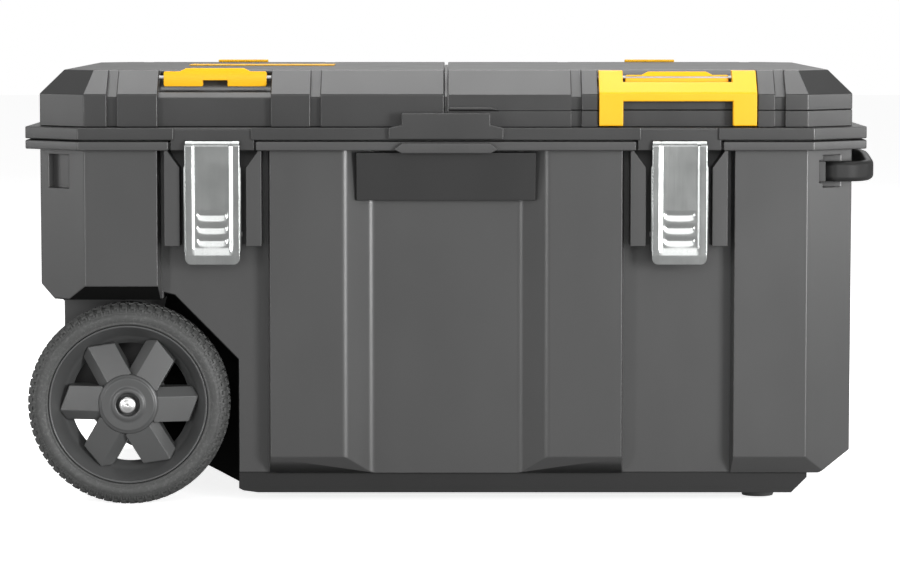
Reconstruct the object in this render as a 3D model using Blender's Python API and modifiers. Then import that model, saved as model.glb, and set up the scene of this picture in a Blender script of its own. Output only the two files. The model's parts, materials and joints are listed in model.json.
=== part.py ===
# A wheeled job chest: tub, hinged lid, two covers on the lid, draw latches, pull handle and wheels.
# Metres, +Z up. The front faces -Y and the wheels are at the -X end. Z is 0 where the wheels stand.

import math

import bmesh
import bpy
from mathutils import Matrix, Vector

# Driving dimensions of the tub
body_length = 0.818
body_depth = 0.460
wall = 0.004
corner_x = 0.048
corner_y = 0.038
rim_top = 0.3665
rim_height = 0.009
rim_overhang = 0.014
rim_notch_overhang = 0.002
body_bottom = 0.031
bottom_chamfer = 0.017
chamfer_rise = 0.018
end_chamfer_x = 0.033
end_chamfer_z = 0.021
plinth_bottom = 0.010
plinth_inset = 0.024
plinth_right_inset = 0.0443
plinth_end_slope = 0.0157
centre_half = 0.075
centre_slope = 0.026
centre_depth = 0.017
centre_round = 0.014
column_share = 0.56772
hinge_share = 0.56724
latch_share = 0.56479
clip_share = 0.55501
column_half = 0.0558
column_slope = 0.002
column_depth = 0.020
rear_column_depth = 0.010
tab_half = 0.044
tab_taper = 0.008
tab_height = 0.0075
tab_reach = 0.020

# Bare plate over the sunk centre panel
bare_plate_half = 0.0895
bare_plate_height = 0.048
bare_plate_below_rim = 0.0025
bare_plate_proud = 0.003
bare_plate_lean = 0.0078

# Wheels, their wells and the feet
wheel_radius = 0.1015
wheel_width = 0.046
wheel_from_end = 0.0895
wheel_front = 0.004
rim_share = 0.788
rim_thickness = 0.007
hub_share = 0.3054
axle_radius = 0.00635
axle_play = 0.0003
bushing_wall = 0.004
bushing_flange = 0.005
bushing_depth = 0.012
spoke_half = 0.0175
spoke_end_gap = 0.004
disc_thickness = 0.008
wheel_sides = 48
cap_margin = 0.00205
well_depth = 0.065
well_clearance = 0.004
wing_rise = 0.014
wing_chamfer = 0.020
arch_clearance = 0.009
arch_shoulder_rise = 0.0442
arch_slope_end_right = 0.0465
arch_slope_end_rise = 0.008
arch_edge_right = 0.0355
arch_edge_rise = 0.0105
wing_end_right = 0.0395
skirt_side_rise = 0.0065
skirt_end_right = 0.0845
skirt_end_drop = 0.003
skirt_foot_right = 0.1145
skirt_foot_rise = 0.002
step_rise = 0.0165
foot_radius = 0.018
foot_from_end = 0.089
foot_y_share = 0.652

# Lid
lid_gap = 0.0015
lid_height = 0.012
deck = 0.004
lip_drop = 0.0104
lip_half = 0.0415
lip_front = 0.011
lip_back = 0.003
boss_half = 0.044
boss_taper = 0.013
boss_height = 0.0146
seal_inset = 0.0002
seal_width = 0.0036
seal_height = 0.0035
lid_well_depth = 0.037
lid_well_wall = 0.003
lid_well_inner = 0.018
lid_well_end_margin = 0.041
lid_well_side_margin = 0.032
hinge_back = 0.008
knuckle_radius = 0.006
knuckle_length = 0.022
knuckle_play = 0.03
pin_radius = 0.0025

# Covers and organizer
slot_half = 0.002
shell = 0.003
shoulder_height = 0.0324
crown_height = 0.024
tray_rim_height = 0.0167
gap = 0.0003
groove_near_margin = 0.0215
groove_far_margin = 0.0225
groove_half = 0.005
groove_depth = 0.007
cover_axis_back = 0.008
left_axis_rise = 0.0057
organizer_axis_rise = 0.005
cover_knuckle_radius = 0.004
cover_pin_radius = 0.002
clip_half = 0.0275
clip_thickness = 0.0025
tab_block = (0.003, 0.043)
inlay_length = 0.153
inlay_width = 0.045
inlay_share = 0.478
inlay_back = 0.0175
inlay_height = 0.0012

# Rocker latches and carry handle
pocket_half = 0.0565
pocket_depth = 0.009
rocker_end_gap = 0.0055
pin_share = 0.67917
rocker_pin_inset = 0.003
rocker_clear_radius = 0.015
rocker_thickness = 0.0085
rocker_reach_top = 0.0105
rocker_reach_left = 0.0125
rocker_reach_right = 0.0100
rocker_raise_half = 0.0285
rocker_raise = 0.002
rocker_pin_radius = 0.002
handle_beside_pocket = 0.023
handle_play = 0.001
leg_clearance = 0.0035
handle_proud = 0.004
handle_thickness = 0.009
handle_top_drop = 0.0004
handle_floor_gap = 0.0012
bar_below_fold = 0.0067
bar_gap = 0.00195
handle_pocket_depth = 0.012

# Draw latches
plate_half = 0.0273
plate_sheet = 0.0015
plate_front = 0.016
plate_below_pivot = 0.050
plate_corner = 0.006
raise_inset = 0.0078
raise_height = 0.002
raise_foot = 0.0095
flange_below_rim = 0.0265
flange_below_pivot = 0.032
flange_depth = 0.015
flange_proud = 0.0011
curl_radius = 0.0023
bracket_base = 0.003
guard_clearance = 0.0057
guard_margin = 0.0074
guard_reach = 0.028
lug_inset = 0.0070
lug_thickness = 0.003
lug_radius = 0.0048
pivot_below_rim = 0.0725
pivot_reach = 0.022
link_drop = 0.020
link_forward = 0.004
link_inset = 0.0035
link_thickness = 0.002
link_radius = 0.0045

# Pull handle
pull_thickness = 0.012
pull_height = 0.0205
pull_below_rim = 0.031
pull_inset = 0.017
pull_clear = 0.010
pull_corner = 0.014
arm_clearance = 0.0082
guide_margin = 0.003
guide_wall = 0.005
notch_depth = 0.0314
notch_margin = 0.0055
notch_play = 0.0024

# Sizes that follow from the ones above
half_length = body_length / 2
half_depth = body_depth / 2
front = -half_depth
past_end = half_length + 0.040
past_side = half_depth + 0.020
column_x = half_length * column_share
hinge_x = half_length * hinge_share
latch_x = half_length * latch_share
clip_x = half_length * clip_share
column_floor = front + column_depth
centre_angle = math.atan2(centre_depth, centre_slope)
centre_tangent = centre_round * math.tan(centre_angle / 2)
plinth_right = half_length - plinth_right_inset
lid_bottom = rim_top + lid_gap
lid_top = lid_bottom + lid_height
unit_bottom = lid_top + gap
seam_height = unit_bottom + tray_rim_height
fold_height = unit_bottom + shoulder_height
top_height = fold_height + crown_height
boss_top = lid_top + boss_height
lid_well_floor = lid_top - lid_well_depth
lid_well_outer = half_length - lid_well_end_margin
lid_well_half = half_depth - lid_well_side_margin
left_axis_height = unit_bottom + left_axis_rise
organizer_axis_height = seam_height + organizer_axis_rise
hinge_y = half_depth + rim_overhang + hinge_back
hinge_z = rim_top + lid_gap / 2
cover_axis_y = half_depth + cover_axis_back
tan_half_45 = math.tan(math.radians(22.5))
round_sides = 16

axle_height = wheel_radius
wheel_x = -half_length + wheel_from_end
rim_radius = wheel_radius * rim_share
hub_radius = wheel_radius * hub_share
spoke_end = rim_radius - rim_thickness - spoke_end_gap
bushing_radius = axle_radius + bushing_wall
cap_radius = axle_radius + cap_margin
well_inner = half_depth - well_depth
well_ceiling = 2 * wheel_radius + well_clearance
wing_bottom = well_ceiling + wing_rise
arch_right = wheel_x + wheel_radius + arch_clearance
arch_shoulder = axle_height + arch_shoulder_rise
arch_slope_end = (wheel_x + arch_slope_end_right, 2 * wheel_radius + arch_slope_end_rise)
arch_edge = (wheel_x + arch_edge_right, 2 * wheel_radius + arch_edge_rise)
wing_end = wheel_x + wing_end_right
skirt_side = axle_height + skirt_side_rise
skirt_end = (wheel_x + skirt_end_right, body_bottom - skirt_end_drop)
skirt_foot = (wheel_x + skirt_foot_right, plinth_bottom + skirt_foot_rise)
step_floor = axle_height + step_rise
foot_x = half_length - foot_from_end
foot_y = half_depth * foot_y_share

pin_rise = crown_height * pin_share
rocker_pin = (front + pin_rise + rocker_pin_inset * math.sqrt(2), fold_height + pin_rise)
rocker_half = pocket_half - rocker_end_gap
handle_pocket_half = pocket_half + handle_beside_pocket
handle_half = handle_pocket_half - handle_play
handle_leg = handle_half - rocker_half - leg_clearance
handle_bottom = unit_bottom + handle_floor_gap
handle_bar_low = fold_height - bar_below_fold
handle_bar_top = pin_rise * math.sqrt(2) + rocker_pin_inset - rocker_reach_right - bar_gap
groove_x = (
    latch_x - handle_pocket_half - groove_near_margin,
    latch_x + handle_pocket_half + groove_far_margin,
)

draw_x = column_x
pivot_height = rim_top - pivot_below_rim
pivot_y = column_floor - pivot_reach
plate_bottom = pivot_height - plate_below_pivot
raise_half = plate_half - raise_inset
raise_bottom = plate_bottom + raise_foot
flange_top = rim_top - flange_below_rim
flange_bottom = pivot_height - flange_below_pivot
guard_inner = plate_half + guard_clearance
guard_outer = column_half - guard_margin
lug_inner = plate_half - lug_inset
link_inner = plate_half - link_inset

pull_centre_height = rim_top - pull_below_rim
pull_y = half_depth - pull_inset
pull_reach = half_length + pull_clear + pull_thickness
guide_end = half_length - corner_x - guide_margin
arm_start = column_x + column_half + wall + arm_clearance
notch_start = half_length - notch_depth
grip_start = notch_start + notch_play
notch_low = pull_centre_height - pull_height / 2 - notch_margin
notch_high = pull_centre_height + pull_height / 2 + notch_margin

frontmost = max(half_depth + tab_reach, half_depth + plate_front + raise_height)
rearmost = hinge_y + knuckle_radius
leftmost = half_length + rim_overhang
shift = Vector(((leftmost - pull_reach) / 2, (frontmost - rearmost) / 2, 0.0))


def clear_scene():
    for obj in list(bpy.data.objects):
        bpy.data.objects.remove(obj, do_unlink=True)


def new_collection(name):
    made = bpy.data.collections.new(name)
    bpy.context.scene.collection.children.link(made)
    return made


clear_scene()
parts = new_collection("job_chest")
cutters = new_collection("cutters")
cutters.hide_render = True


def material(name, colour, roughness, metallic=0.0):
    made = bpy.data.materials.new(name)
    made.use_nodes = True
    shader = made.node_tree.nodes["Principled BSDF"]
    shader.inputs["Base Color"].default_value = (*colour, 1.0)
    shader.inputs["Roughness"].default_value = roughness
    shader.inputs["Metallic"].default_value = metallic
    return made


def joint(name, place=None, parent=None):
    """An empty at a point of the model; what hangs on it moves about that point."""
    empty = bpy.data.objects.new(name, None)
    parts.objects.link(empty)
    empty.empty_display_size = 0.02
    here = Vector(place or (0.0, 0.0, 0.0))
    empty["place"] = here
    if parent is None:
        empty.location = shift
    else:
        empty.parent = parent
        empty.location = here - Vector(parent["place"])
    return empty


def add_mesh(name, mesh):
    obj = bpy.data.objects.new(name, mesh)
    parts.objects.link(obj)
    return obj


def from_bmesh(name, bm):
    mesh = bpy.data.meshes.new(name)
    bmesh.ops.recalc_face_normals(bm, faces=bm.faces)
    bm.to_mesh(mesh)
    bm.free()
    return add_mesh(name, mesh)


turn_for_axis = {
    "X": Matrix(((0, 0, 1), (1, 0, 0), (0, 1, 0))).to_4x4(),
    "Y": Matrix(((1, 0, 0), (0, 0, 1), (0, 1, 0))).to_4x4(),
    "Z": Matrix.Identity(4),
}


def prism(name, outline, low, high, axis="Z"):
    """A flat outline drawn out from low to high along an axis.

    The outline is (x, y) along Z, (y, z) along X and (x, z) along Y.
    """
    curve = bpy.data.curves.new(name, "CURVE")
    curve.dimensions = "2D"
    curve.fill_mode = "BOTH"
    curve.extrude = (high - low) / 2
    spline = curve.splines.new("POLY")
    spline.points.add(len(outline) - 1)
    for point, corner in zip(spline.points, outline):
        point.co = (corner[0], corner[1], 0.0, 1.0)
    spline.use_cyclic_u = True
    drawn = bpy.data.objects.new(name, curve)
    parts.objects.link(drawn)
    graph = bpy.context.evaluated_depsgraph_get()
    mesh = bpy.data.meshes.new_from_object(drawn.evaluated_get(graph))
    bpy.data.objects.remove(drawn, do_unlink=True)
    bpy.data.curves.remove(curve)
    bm = bmesh.new()
    bm.from_mesh(mesh)
    bpy.data.meshes.remove(mesh)
    bmesh.ops.remove_doubles(bm, verts=bm.verts, dist=1e-6)
    bmesh.ops.dissolve_limit(bm, angle_limit=1e-4, verts=bm.verts, edges=bm.edges)
    middle = Matrix.Translation((0.0, 0.0, (low + high) / 2))
    bmesh.ops.transform(bm, matrix=turn_for_axis[axis] @ middle, verts=bm.verts)
    return from_bmesh(name, bm)


def box(name, low, high):
    bm = bmesh.new()
    bmesh.ops.create_cube(bm, size=1.0)
    low = Vector(low)
    high = Vector(high)
    size = Matrix.Diagonal((*(high - low), 1.0))
    bmesh.ops.transform(bm, matrix=Matrix.Translation((low + high) / 2) @ size, verts=bm.verts)
    return from_bmesh(name, bm)


def rod(name, radius, low, high, across, axis="X", sides=round_sides):
    """A round bar from low to high along an axis; across gives its other two coordinates."""
    bm = bmesh.new()
    bmesh.ops.create_cone(
        bm, cap_ends=True, segments=sides, radius1=radius, radius2=radius, depth=high - low
    )
    place = Matrix.Translation((across[0], across[1], (low + high) / 2))
    bmesh.ops.transform(bm, matrix=turn_for_axis[axis] @ place, verts=bm.verts)
    return from_bmesh(name, bm)


def loft(name, rings):
    """A closed shape through outlines of equal point count, each (height, outline)."""
    bm = bmesh.new()
    loops = []
    for height, outline in rings:
        loops.append([bm.verts.new((x, y, height)) for x, y in outline])
    for below, above in zip(loops, loops[1:]):
        for i in range(len(below)):
            j = (i + 1) % len(below)
            bm.faces.new((below[i], below[j], above[j], above[i]))
    bm.faces.new(loops[0])
    bm.faces.new(loops[-1])
    return from_bmesh(name, bm)


def turned(name, profile, x, z, steps=48):
    """A closed profile of (radius, y) turned about a line along Y."""
    count = len(profile)
    mesh = bpy.data.meshes.new(name)
    points = [(x + radius, along, z) for radius, along in profile]
    mesh.from_pydata(points, [(i, (i + 1) % count) for i in range(count)], [])
    obj = add_mesh(name, mesh)
    centre = bpy.data.objects.new(name + "_centre", None)
    cutters.objects.link(centre)
    centre.location = (x, 0.0, z)
    screw = obj.modifiers.new("turn", "SCREW")
    screw.object = centre
    screw.axis = "Y"
    screw.steps = steps
    screw.render_steps = steps
    screw.use_merge_vertices = True
    screw.merge_threshold = 0.00001
    bpy.context.view_layer.update()
    settle(obj)
    bpy.data.objects.remove(centre, do_unlink=True)
    bm = bmesh.new()
    bm.from_mesh(obj.data)
    bmesh.ops.recalc_face_normals(bm, faces=bm.faces)
    bm.to_mesh(obj.data)
    bm.free()
    return obj


def combine(obj, other, operation):
    """A Boolean with another shape, which moves to the cutters."""
    parts.objects.unlink(other)
    cutters.objects.link(other)
    other.hide_render = True
    other.display_type = "WIRE"
    modifier = obj.modifiers.new(other.name, "BOOLEAN")
    modifier.operation = operation
    modifier.solver = "EXACT"
    modifier.object = other


def cut(obj, *others):
    for other in others:
        combine(obj, other, "DIFFERENCE")


def join(obj, *others):
    for other in others:
        combine(obj, other, "UNION")


def settle(obj):
    """Turns the object's Booleans into its mesh, so that it can itself be a clean cutter."""
    graph = bpy.context.evaluated_depsgraph_get()
    mesh = bpy.data.meshes.new_from_object(obj.evaluated_get(graph))
    used = [modifier.object for modifier in obj.modifiers if modifier.type == "BOOLEAN"]
    obj.modifiers.clear()
    obj.data = mesh
    for other in used:
        bpy.data.objects.remove(other, do_unlink=True)
    close_hairlines(mesh)
    return obj


def close_hairlines(mesh):
    """Fills the gaps of no width that a Boolean can leave along edges that lie in one line."""
    bm = bmesh.new()
    bm.from_mesh(mesh)
    bmesh.ops.remove_doubles(bm, verts=bm.verts, dist=1e-6)
    open_edges = [edge for edge in bm.edges if edge.is_boundary]
    if open_edges:
        bmesh.ops.holes_fill(bm, edges=open_edges, sides=0)
    bm.to_mesh(mesh)
    bm.free()


def hold(obj, parent, finish, smooth=False):
    """Hangs a finished part on its joint and gives it its material."""
    settle(obj)
    obj.parent = parent
    obj.location = -Vector(parent["place"])
    obj.data.materials.clear()
    obj.data.materials.append(finish)
    if smooth:
        obj.data.shade_smooth()
        obj.data.set_sharp_from_angle(angle=math.radians(35))
    return obj


def offset_edges(outline, amounts):
    """Moves each edge of a counter-clockwise outline inwards by its own amount."""
    count = len(outline)
    lines = []
    for i in range(count):
        start = Vector(outline[i])
        along = (Vector(outline[(i + 1) % count]) - start).normalized()
        inward = Vector((-along.y, along.x))
        lines.append((start + inward * amounts[i], along))
    moved = []
    for i in range(count):
        start, along = lines[i - 1]
        other, other_along = lines[i]
        turn = along.x * other_along.y - along.y * other_along.x
        if abs(turn) < 1e-6:
            moved.append((other.x, other.y))
            continue
        gap_line = other - start
        reach = (gap_line.x * other_along.y - gap_line.y * other_along.x) / turn
        point = start + along * reach
        moved.append((point.x, point.y))
    return moved


def inset(outline, amount):
    return offset_edges(outline, [amount] * len(outline))


def centre_bend(x, depth, side):
    """The rounded bend at one end of the slope beside the sunk panel; side is 1 at its deep end."""
    middle_x = x - side * centre_tangent
    middle_depth = depth - side * centre_round
    steps = 4
    made = []
    for step in range(steps + 1):
        angle = centre_angle * (step if side > 0 else steps - step) / steps
        made.append((
            middle_x + side * centre_round * math.sin(angle),
            middle_depth + side * centre_round * math.cos(angle),
        ))
    return made


def front_relief(side_depth):
    """(x, depth) along the front, from left to right: columns for the latches, sunk centre panel."""
    centre = centre_bend(centre_half, centre_depth, 1) + centre_bend(centre_half + centre_slope, 0.0, -1)
    column = [
        (column_x - column_half, 0.0),
        (column_x - column_half + column_slope, side_depth),
        (column_x + column_half - column_slope, side_depth),
        (column_x + column_half, 0.0),
    ]
    right = centre + column + [(half_length - corner_x, 0.0)]
    return [(-x, depth) for x, depth in reversed(right)] + right


def body_outline():
    """The tub's walls seen from above, counter-clockwise from the front left."""
    front_side = [(x, depth - half_depth) for x, depth in front_relief(column_depth)]
    rear_side = [(-x, half_depth - depth) for x, depth in front_relief(rear_column_depth)]
    corner = half_depth - corner_y
    right = [(half_length, -corner), (half_length, corner)]
    left = [(-half_length, corner), (-half_length, -corner)]
    return front_side + right + rear_side + left


def frame_outline(grow, notch_half=0.0, notch_grow=0.0):
    """The body's plain outline with cut corners, grown outwards, with front notches at the latches."""
    x = half_length
    y = half_depth
    plain = [
        (-x + corner_x, -y),
        (x - corner_x, -y),
        (x, -y + corner_y),
        (x, y - corner_y),
        (x - corner_x, y),
        (-x + corner_x, y),
        (-x, y - corner_y),
        (-x, -y + corner_y),
    ]
    grown = inset(plain, -grow)
    if not notch_half:
        return grown
    edge = -y - grow
    back = -y - notch_grow
    notches = []
    for middle in (-column_x, column_x):
        notches += [
            (middle - notch_half, edge),
            (middle - notch_half, back),
            (middle + notch_half, back),
            (middle + notch_half, edge),
        ]
    return grown[:1] + notches + grown[1:]


def mirrored(outline):
    """The same outline on the other side of the middle, still counter-clockwise."""
    return [(-x, y) for x, y in reversed(outline)]


def well_shapes(name, side, grow):
    """The wheel well's space on one side (-1 front, 1 rear), grown by a margin."""
    outer = half_depth + 0.030
    inner = well_inner - grow
    low = -0.020
    ceiling = well_ceiling
    arch = [
        (-half_length - 0.030, low),
        (arch_right + grow, low),
        (arch_right + grow, arch_shoulder + grow * tan_half_45),
        (arch_slope_end[0] + grow * 0.7, arch_slope_end[1] + grow * 0.8),
        (arch_edge[0] - grow, arch_edge[1] + grow),
        (arch_edge[0] - grow, ceiling + grow),
        (-half_length - 0.030, ceiling + grow),
    ]
    run = wing_bottom - ceiling
    wing = [
        (half_depth + 0.030, ceiling - 0.010),
        (half_depth - run - grow, ceiling - 0.010),
        (half_depth - run, ceiling),
        (half_depth - run, ceiling + grow),
        (half_depth, wing_bottom + grow),
        (half_depth + 0.030, wing_bottom + 0.030 + grow),
    ]
    wing = [(side * y, z) for y, z in wing]
    low_y, high_y = sorted((side * inner, side * outer))
    main = prism(name + "_arch", arch, low_y, high_y, "Y")
    edge = prism(name + "_wing", wing, -half_length - 0.030, wing_end + grow, "X")
    return main, edge


def make_tub(parent, finish):
    body = prism("tub", body_outline(), body_bottom, rim_top - 0.004)
    rise = chamfer_rise / bottom_chamfer
    out = 0.010
    for side in (-1, 1):
        wedge = [
            (half_depth + out, body_bottom + chamfer_rise + out * rise),
            (half_depth - bottom_chamfer - out, body_bottom - out * rise),
            (half_depth + out, body_bottom - out * rise),
        ]
        wedge = [(side * y, z) for y, z in wedge]
        cut(body, prism("bottom_chamfer", wedge, -past_end, past_end, "X"))
    slope = end_chamfer_z / end_chamfer_x
    wedge = [
        (half_length + out, body_bottom + end_chamfer_z + out * slope),
        (half_length - end_chamfer_x - out, body_bottom - out * slope),
        (half_length + out, body_bottom - out * slope),
    ]
    cut(body, prism("end_chamfer", wedge, -past_end, past_end, "Y"))

    plinth_top = body_bottom + 0.006
    plinth = [
        (arch_right - 0.060, plinth_bottom),
        (plinth_right - plinth_end_slope, plinth_bottom),
        (plinth_right, plinth_bottom + plinth_end_slope),
        (plinth_right, plinth_top),
        (arch_right - 0.060, plinth_top),
    ]
    plinth_y = half_depth - plinth_inset
    join(body, prism("plinth", plinth, -plinth_y, plinth_y, "Y"))

    left = -half_length
    skirt_x = left + wing_chamfer
    foot_slope = (skirt_foot[0] + 0.090, skirt_foot[1] - 0.012)
    under = [
        (left - 0.030, wing_bottom + 0.030),
        (skirt_x, wing_bottom - wing_chamfer),
        (skirt_x, skirt_side),
        skirt_end,
        skirt_foot,
        foot_slope,
        (left - 0.030, foot_slope[1]),
    ]
    cut(body, prism("left_underside", under, -past_end, past_end, "Y"))
    for side in (-1, 1):
        cut(body, *well_shapes("well", side, 0.0))

    rim = frame_outline(rim_overhang, lip_half + 0.002, rim_notch_overhang)
    join(body, prism("rim", rim, rim_top - rim_height, rim_top))
    tab = [
        (-tab_half, rim_top - 0.001),
        (-tab_half - tab_taper, rim_top - tab_height),
        (-tab_half, rim_top - tab_height - 0.004),
        (tab_half, rim_top - tab_height - 0.004),
        (tab_half + tab_taper, rim_top - tab_height),
        (tab_half, rim_top - 0.001),
    ]
    join(body, prism("rim_tab", tab, front - tab_reach, front + 0.001, "Y"))
    settle(body)

    cut(body, make_tub_space())
    pocket_low = skirt_x + wall
    underside = [
        (pocket_low, -0.020),
        (arch_right - wall, -0.020),
        (arch_right - wall, step_floor),
        (pocket_low, step_floor),
    ]
    pocket_y = well_inner - wall
    cut(body, prism("underside_pocket", underside, -pocket_y, pocket_y, "Y"))
    reach = well_inner + 0.010
    across = (wheel_x, axle_height)
    bushing_hole = rod("bushing_hole", bushing_radius + gap, -reach, reach, across, "Y", 24)
    cut(body, bushing_hole)
    for side in (-1, 1):
        low_y, high_y = sorted((side * (pull_y - pull_thickness / 2 - 0.006), side * past_side))
        cut(body, box("handle_notch", (notch_start, low_y, notch_low), (past_end, high_y, notch_high)))
        cut(body, arm_space("arm_hole", side, notch_start - 3 * wall, notch_start + 0.001, 0.0008))
        cut(body, facet_pocket("facet_pocket", side, 0.0))
    join(body, *lid_hinge_knuckles("tub", -1))
    settle(body)
    cut(body, *hinge_holes())
    return hold(body, parent, finish)


def facet_pocket(name, side, grow):
    """The blind pocket in a left corner facet, or the material round it when grown."""
    low_x = -half_length + 0.009
    high_x = low_x + 0.022
    rise = corner_y / corner_x

    def on_facet(x):
        return half_depth - corner_y + (x + half_length) * rise

    inward = Vector((corner_y, -corner_x)).normalized()
    depth = 0.008 + grow
    outer = 0.004
    points = []
    for x, reach in ((low_x - grow, -outer), (low_x - grow, depth), (high_x + grow, depth),
                     (high_x + grow, -outer)):
        points.append((x + inward.x * reach, side * (on_facet(x) + inward.y * reach)))
    return prism(name, points, notch_low - 0.001 - grow, notch_high + 0.001 + grow)


def arm_space(name, side, low_x, high_x, grow):
    half_y = pull_thickness / 2 + grow
    half_z = pull_height / 2 + grow
    y = side * pull_y
    return box(
        name,
        (low_x, y - half_y, pull_centre_height - half_z),
        (high_x, y + half_y, pull_centre_height + half_z),
    )


def make_tub_space():
    """The tub's inside: the walls moved in by their thickness, above a stepped floor."""
    space = prism("tub_space", inset(body_outline(), wall), body_bottom + wall, rim_top + 0.020)
    rise = chamfer_rise / bottom_chamfer
    out = 0.010
    drop = wall * tan_half_45
    for side in (-1, 1):
        y = half_depth - wall
        z = body_bottom + wall + chamfer_rise - drop
        wedge = [
            (y + out, z + out * rise),
            (y - bottom_chamfer - out, z - chamfer_rise - out * rise),
            (y + out, z - chamfer_rise - out * rise),
        ]
        wedge = [(side * along, up) for along, up in wedge]
        cut(space, prism("space_chamfer", wedge, -past_end, past_end, "X"))
    plinth_y = half_depth - plinth_inset - wall
    plinth_low = (arch_right + wall, -plinth_y, plinth_bottom + wall)
    plinth_high = (plinth_right - wall, plinth_y, body_bottom + wall + 0.004)
    join(space, box("plinth_space", plinth_low, plinth_high))

    left = -half_length
    inner_x = left + wing_chamfer + wall
    under = [
        (left - 0.030, wing_bottom + wall + 0.030),
        (inner_x, wing_bottom - wing_chamfer + wall),
        (inner_x, step_floor + wall),
        (arch_right + wall, step_floor + wall),
        (arch_right + wall, 0.0),
        (left - 0.030, 0.0),
    ]
    cut(space, prism("space_underside", under, -past_end, past_end, "Y"))
    slope = end_chamfer_z / end_chamfer_x
    z = body_bottom + wall + end_chamfer_z - drop
    x = half_length - wall
    wedge = [
        (x + out, z + out * slope),
        (x - end_chamfer_x - out, z - end_chamfer_z - out * slope),
        (x + out, z - end_chamfer_z - out * slope),
    ]
    cut(space, prism("space_end", wedge, -past_end, past_end, "Y"))
    plinth_end = [
        (plinth_right - wall - plinth_end_slope - 0.010, plinth_bottom + wall - 0.010),
        (plinth_right + 0.020, plinth_bottom + wall - 0.010),
        (plinth_right + 0.020, plinth_bottom + wall + plinth_end_slope + 0.020),
    ]
    cut(space, prism("space_plinth_end", plinth_end, -past_end, past_end, "Y"))
    for side in (-1, 1):
        cut(space, *well_shapes("well_wall", side, wall))
        cut(space, facet_pocket("facet_wall", side, wall))
        near = pull_y - pull_thickness / 2 - 0.006 - wall
        low_y, high_y = sorted((side * near, side * past_side))
        low = (notch_start - wall, low_y, notch_low - wall)
        cut(space, box("notch_wall", low, (past_end, high_y, notch_high + wall)))
    return settle(space)


def lid_hinge_knuckles(owner, level):
    """The eyes of the lid's hinges: the tub has the outer pair (level -1), the lid the middle one."""
    made = []
    edge = half_depth + rim_overhang - 0.001
    if level > 0:
        spans = [(-0.5, 0.5)]
        bottom, top = lid_bottom + 0.0005, lid_bottom + 0.009
    else:
        spans = [(-1.5 - knuckle_play, -0.5 - knuckle_play), (0.5 + knuckle_play, 1.5 + knuckle_play)]
        bottom, top = rim_top - rim_height + 0.0005, rim_top - 0.0005
    for side in (-1, 1):
        for first, last in spans:
            low = side * hinge_x + first * knuckle_length
            high = side * hinge_x + last * knuckle_length
            eye = rod(owner + "_eye", knuckle_radius, low, high, (hinge_y, hinge_z))
            join(eye, box(owner + "_web", (low, edge, bottom), (high, hinge_y, top)))
            made.append(settle(eye))
    return made


def hinge_holes():
    made = []
    for side in (-1, 1):
        reach = 2 * knuckle_length
        low = side * hinge_x - reach
        high = side * hinge_x + reach
        hole = rod("hinge_hole", pin_radius + gap, low, high, (hinge_y, hinge_z))
        made.append(hole)
    return made


def make_front_plate(parent, finish):
    half = bare_plate_half
    high = rim_top - rim_height - bare_plate_below_rim
    low = high - bare_plate_height
    wall_at_end = centre_depth * (1 - (half - centre_half) / centre_slope)
    bend_x, bend_depth = centre_bend(centre_half, centre_depth, 1)[-1]
    right = [
        (half, front - bare_plate_proud),
        (half, front + wall_at_end - 2 * gap),
        (bend_x, front + bend_depth - 2 * gap),
        (centre_half - centre_tangent, front + centre_depth - gap),
    ]
    outline = [(-x, y) for x, y in reversed(right)] + right
    plate = prism("front_plate", outline, low, high)
    tilt = [
        (front - 0.010, high + 0.010),
        (front - 0.010, low - 0.010),
        (front - bare_plate_proud + bare_plate_lean, low - 0.010),
        (front - bare_plate_proud, high),
        (front - bare_plate_proud, high + 0.010),
    ]
    cut(plate, prism("plate_tilt", tilt, -past_end, past_end, "X"))
    return hold(plate, parent, finish)


def make_axle(parent, steel, plastic):
    across = (wheel_x, axle_height)
    end = half_depth - wheel_front + 0.003
    axle = rod("axle", axle_radius, -end, end, across, "Y", 32)
    hold(axle, parent, steel, True)
    wheel_inner = half_depth - wheel_front - wheel_width
    for side, name in ((-1, "front"), (1, "rear")):
        profile = [
            (bushing_radius, well_inner - bushing_depth),
            (bushing_radius, well_inner + gap),
            (bushing_radius + bushing_flange, well_inner + gap),
            (bushing_radius + bushing_flange, wheel_inner - gap),
            (axle_radius + axle_play, wheel_inner - gap),
            (axle_radius + axle_play, well_inner - bushing_depth),
        ]
        profile = [(radius, side * along) for radius, along in profile]
        bushing = turned("axle_bushing_" + name, profile, wheel_x, axle_height, 24)
        hold(bushing, parent, plastic, True)
        cap_near = half_depth - wheel_front + gap
        cap = [
            (axle_radius + axle_play, cap_near),
            (cap_radius, cap_near),
            (cap_radius, cap_near + 0.0035),
            (cap_radius - 0.0015, cap_near + 0.005),
            (0.0008, cap_near + 0.005),
            (0.0008, end + gap),
            (axle_radius + axle_play, end + gap),
        ]
        cap = [(radius, side * along) for radius, along in cap]
        push_cap = turned("push_cap_" + name, cap, wheel_x, axle_height, 24)
        hold(push_cap, parent, steel, True)


def make_feet(parent, rubber):
    for side, name in ((-1, "front"), (1, "rear")):
        bm = bmesh.new()
        bmesh.ops.create_cone(
            bm,
            cap_ends=True,
            segments=32,
            radius1=foot_radius * 0.88,
            radius2=foot_radius,
            depth=plinth_bottom - gap,
        )
        place = Matrix.Translation((foot_x, side * foot_y, (plinth_bottom - gap) / 2))
        bmesh.ops.transform(bm, matrix=place, verts=bm.verts)
        foot = from_bmesh("foot_" + name, bm)
        hold(foot, parent, rubber, True)


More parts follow.
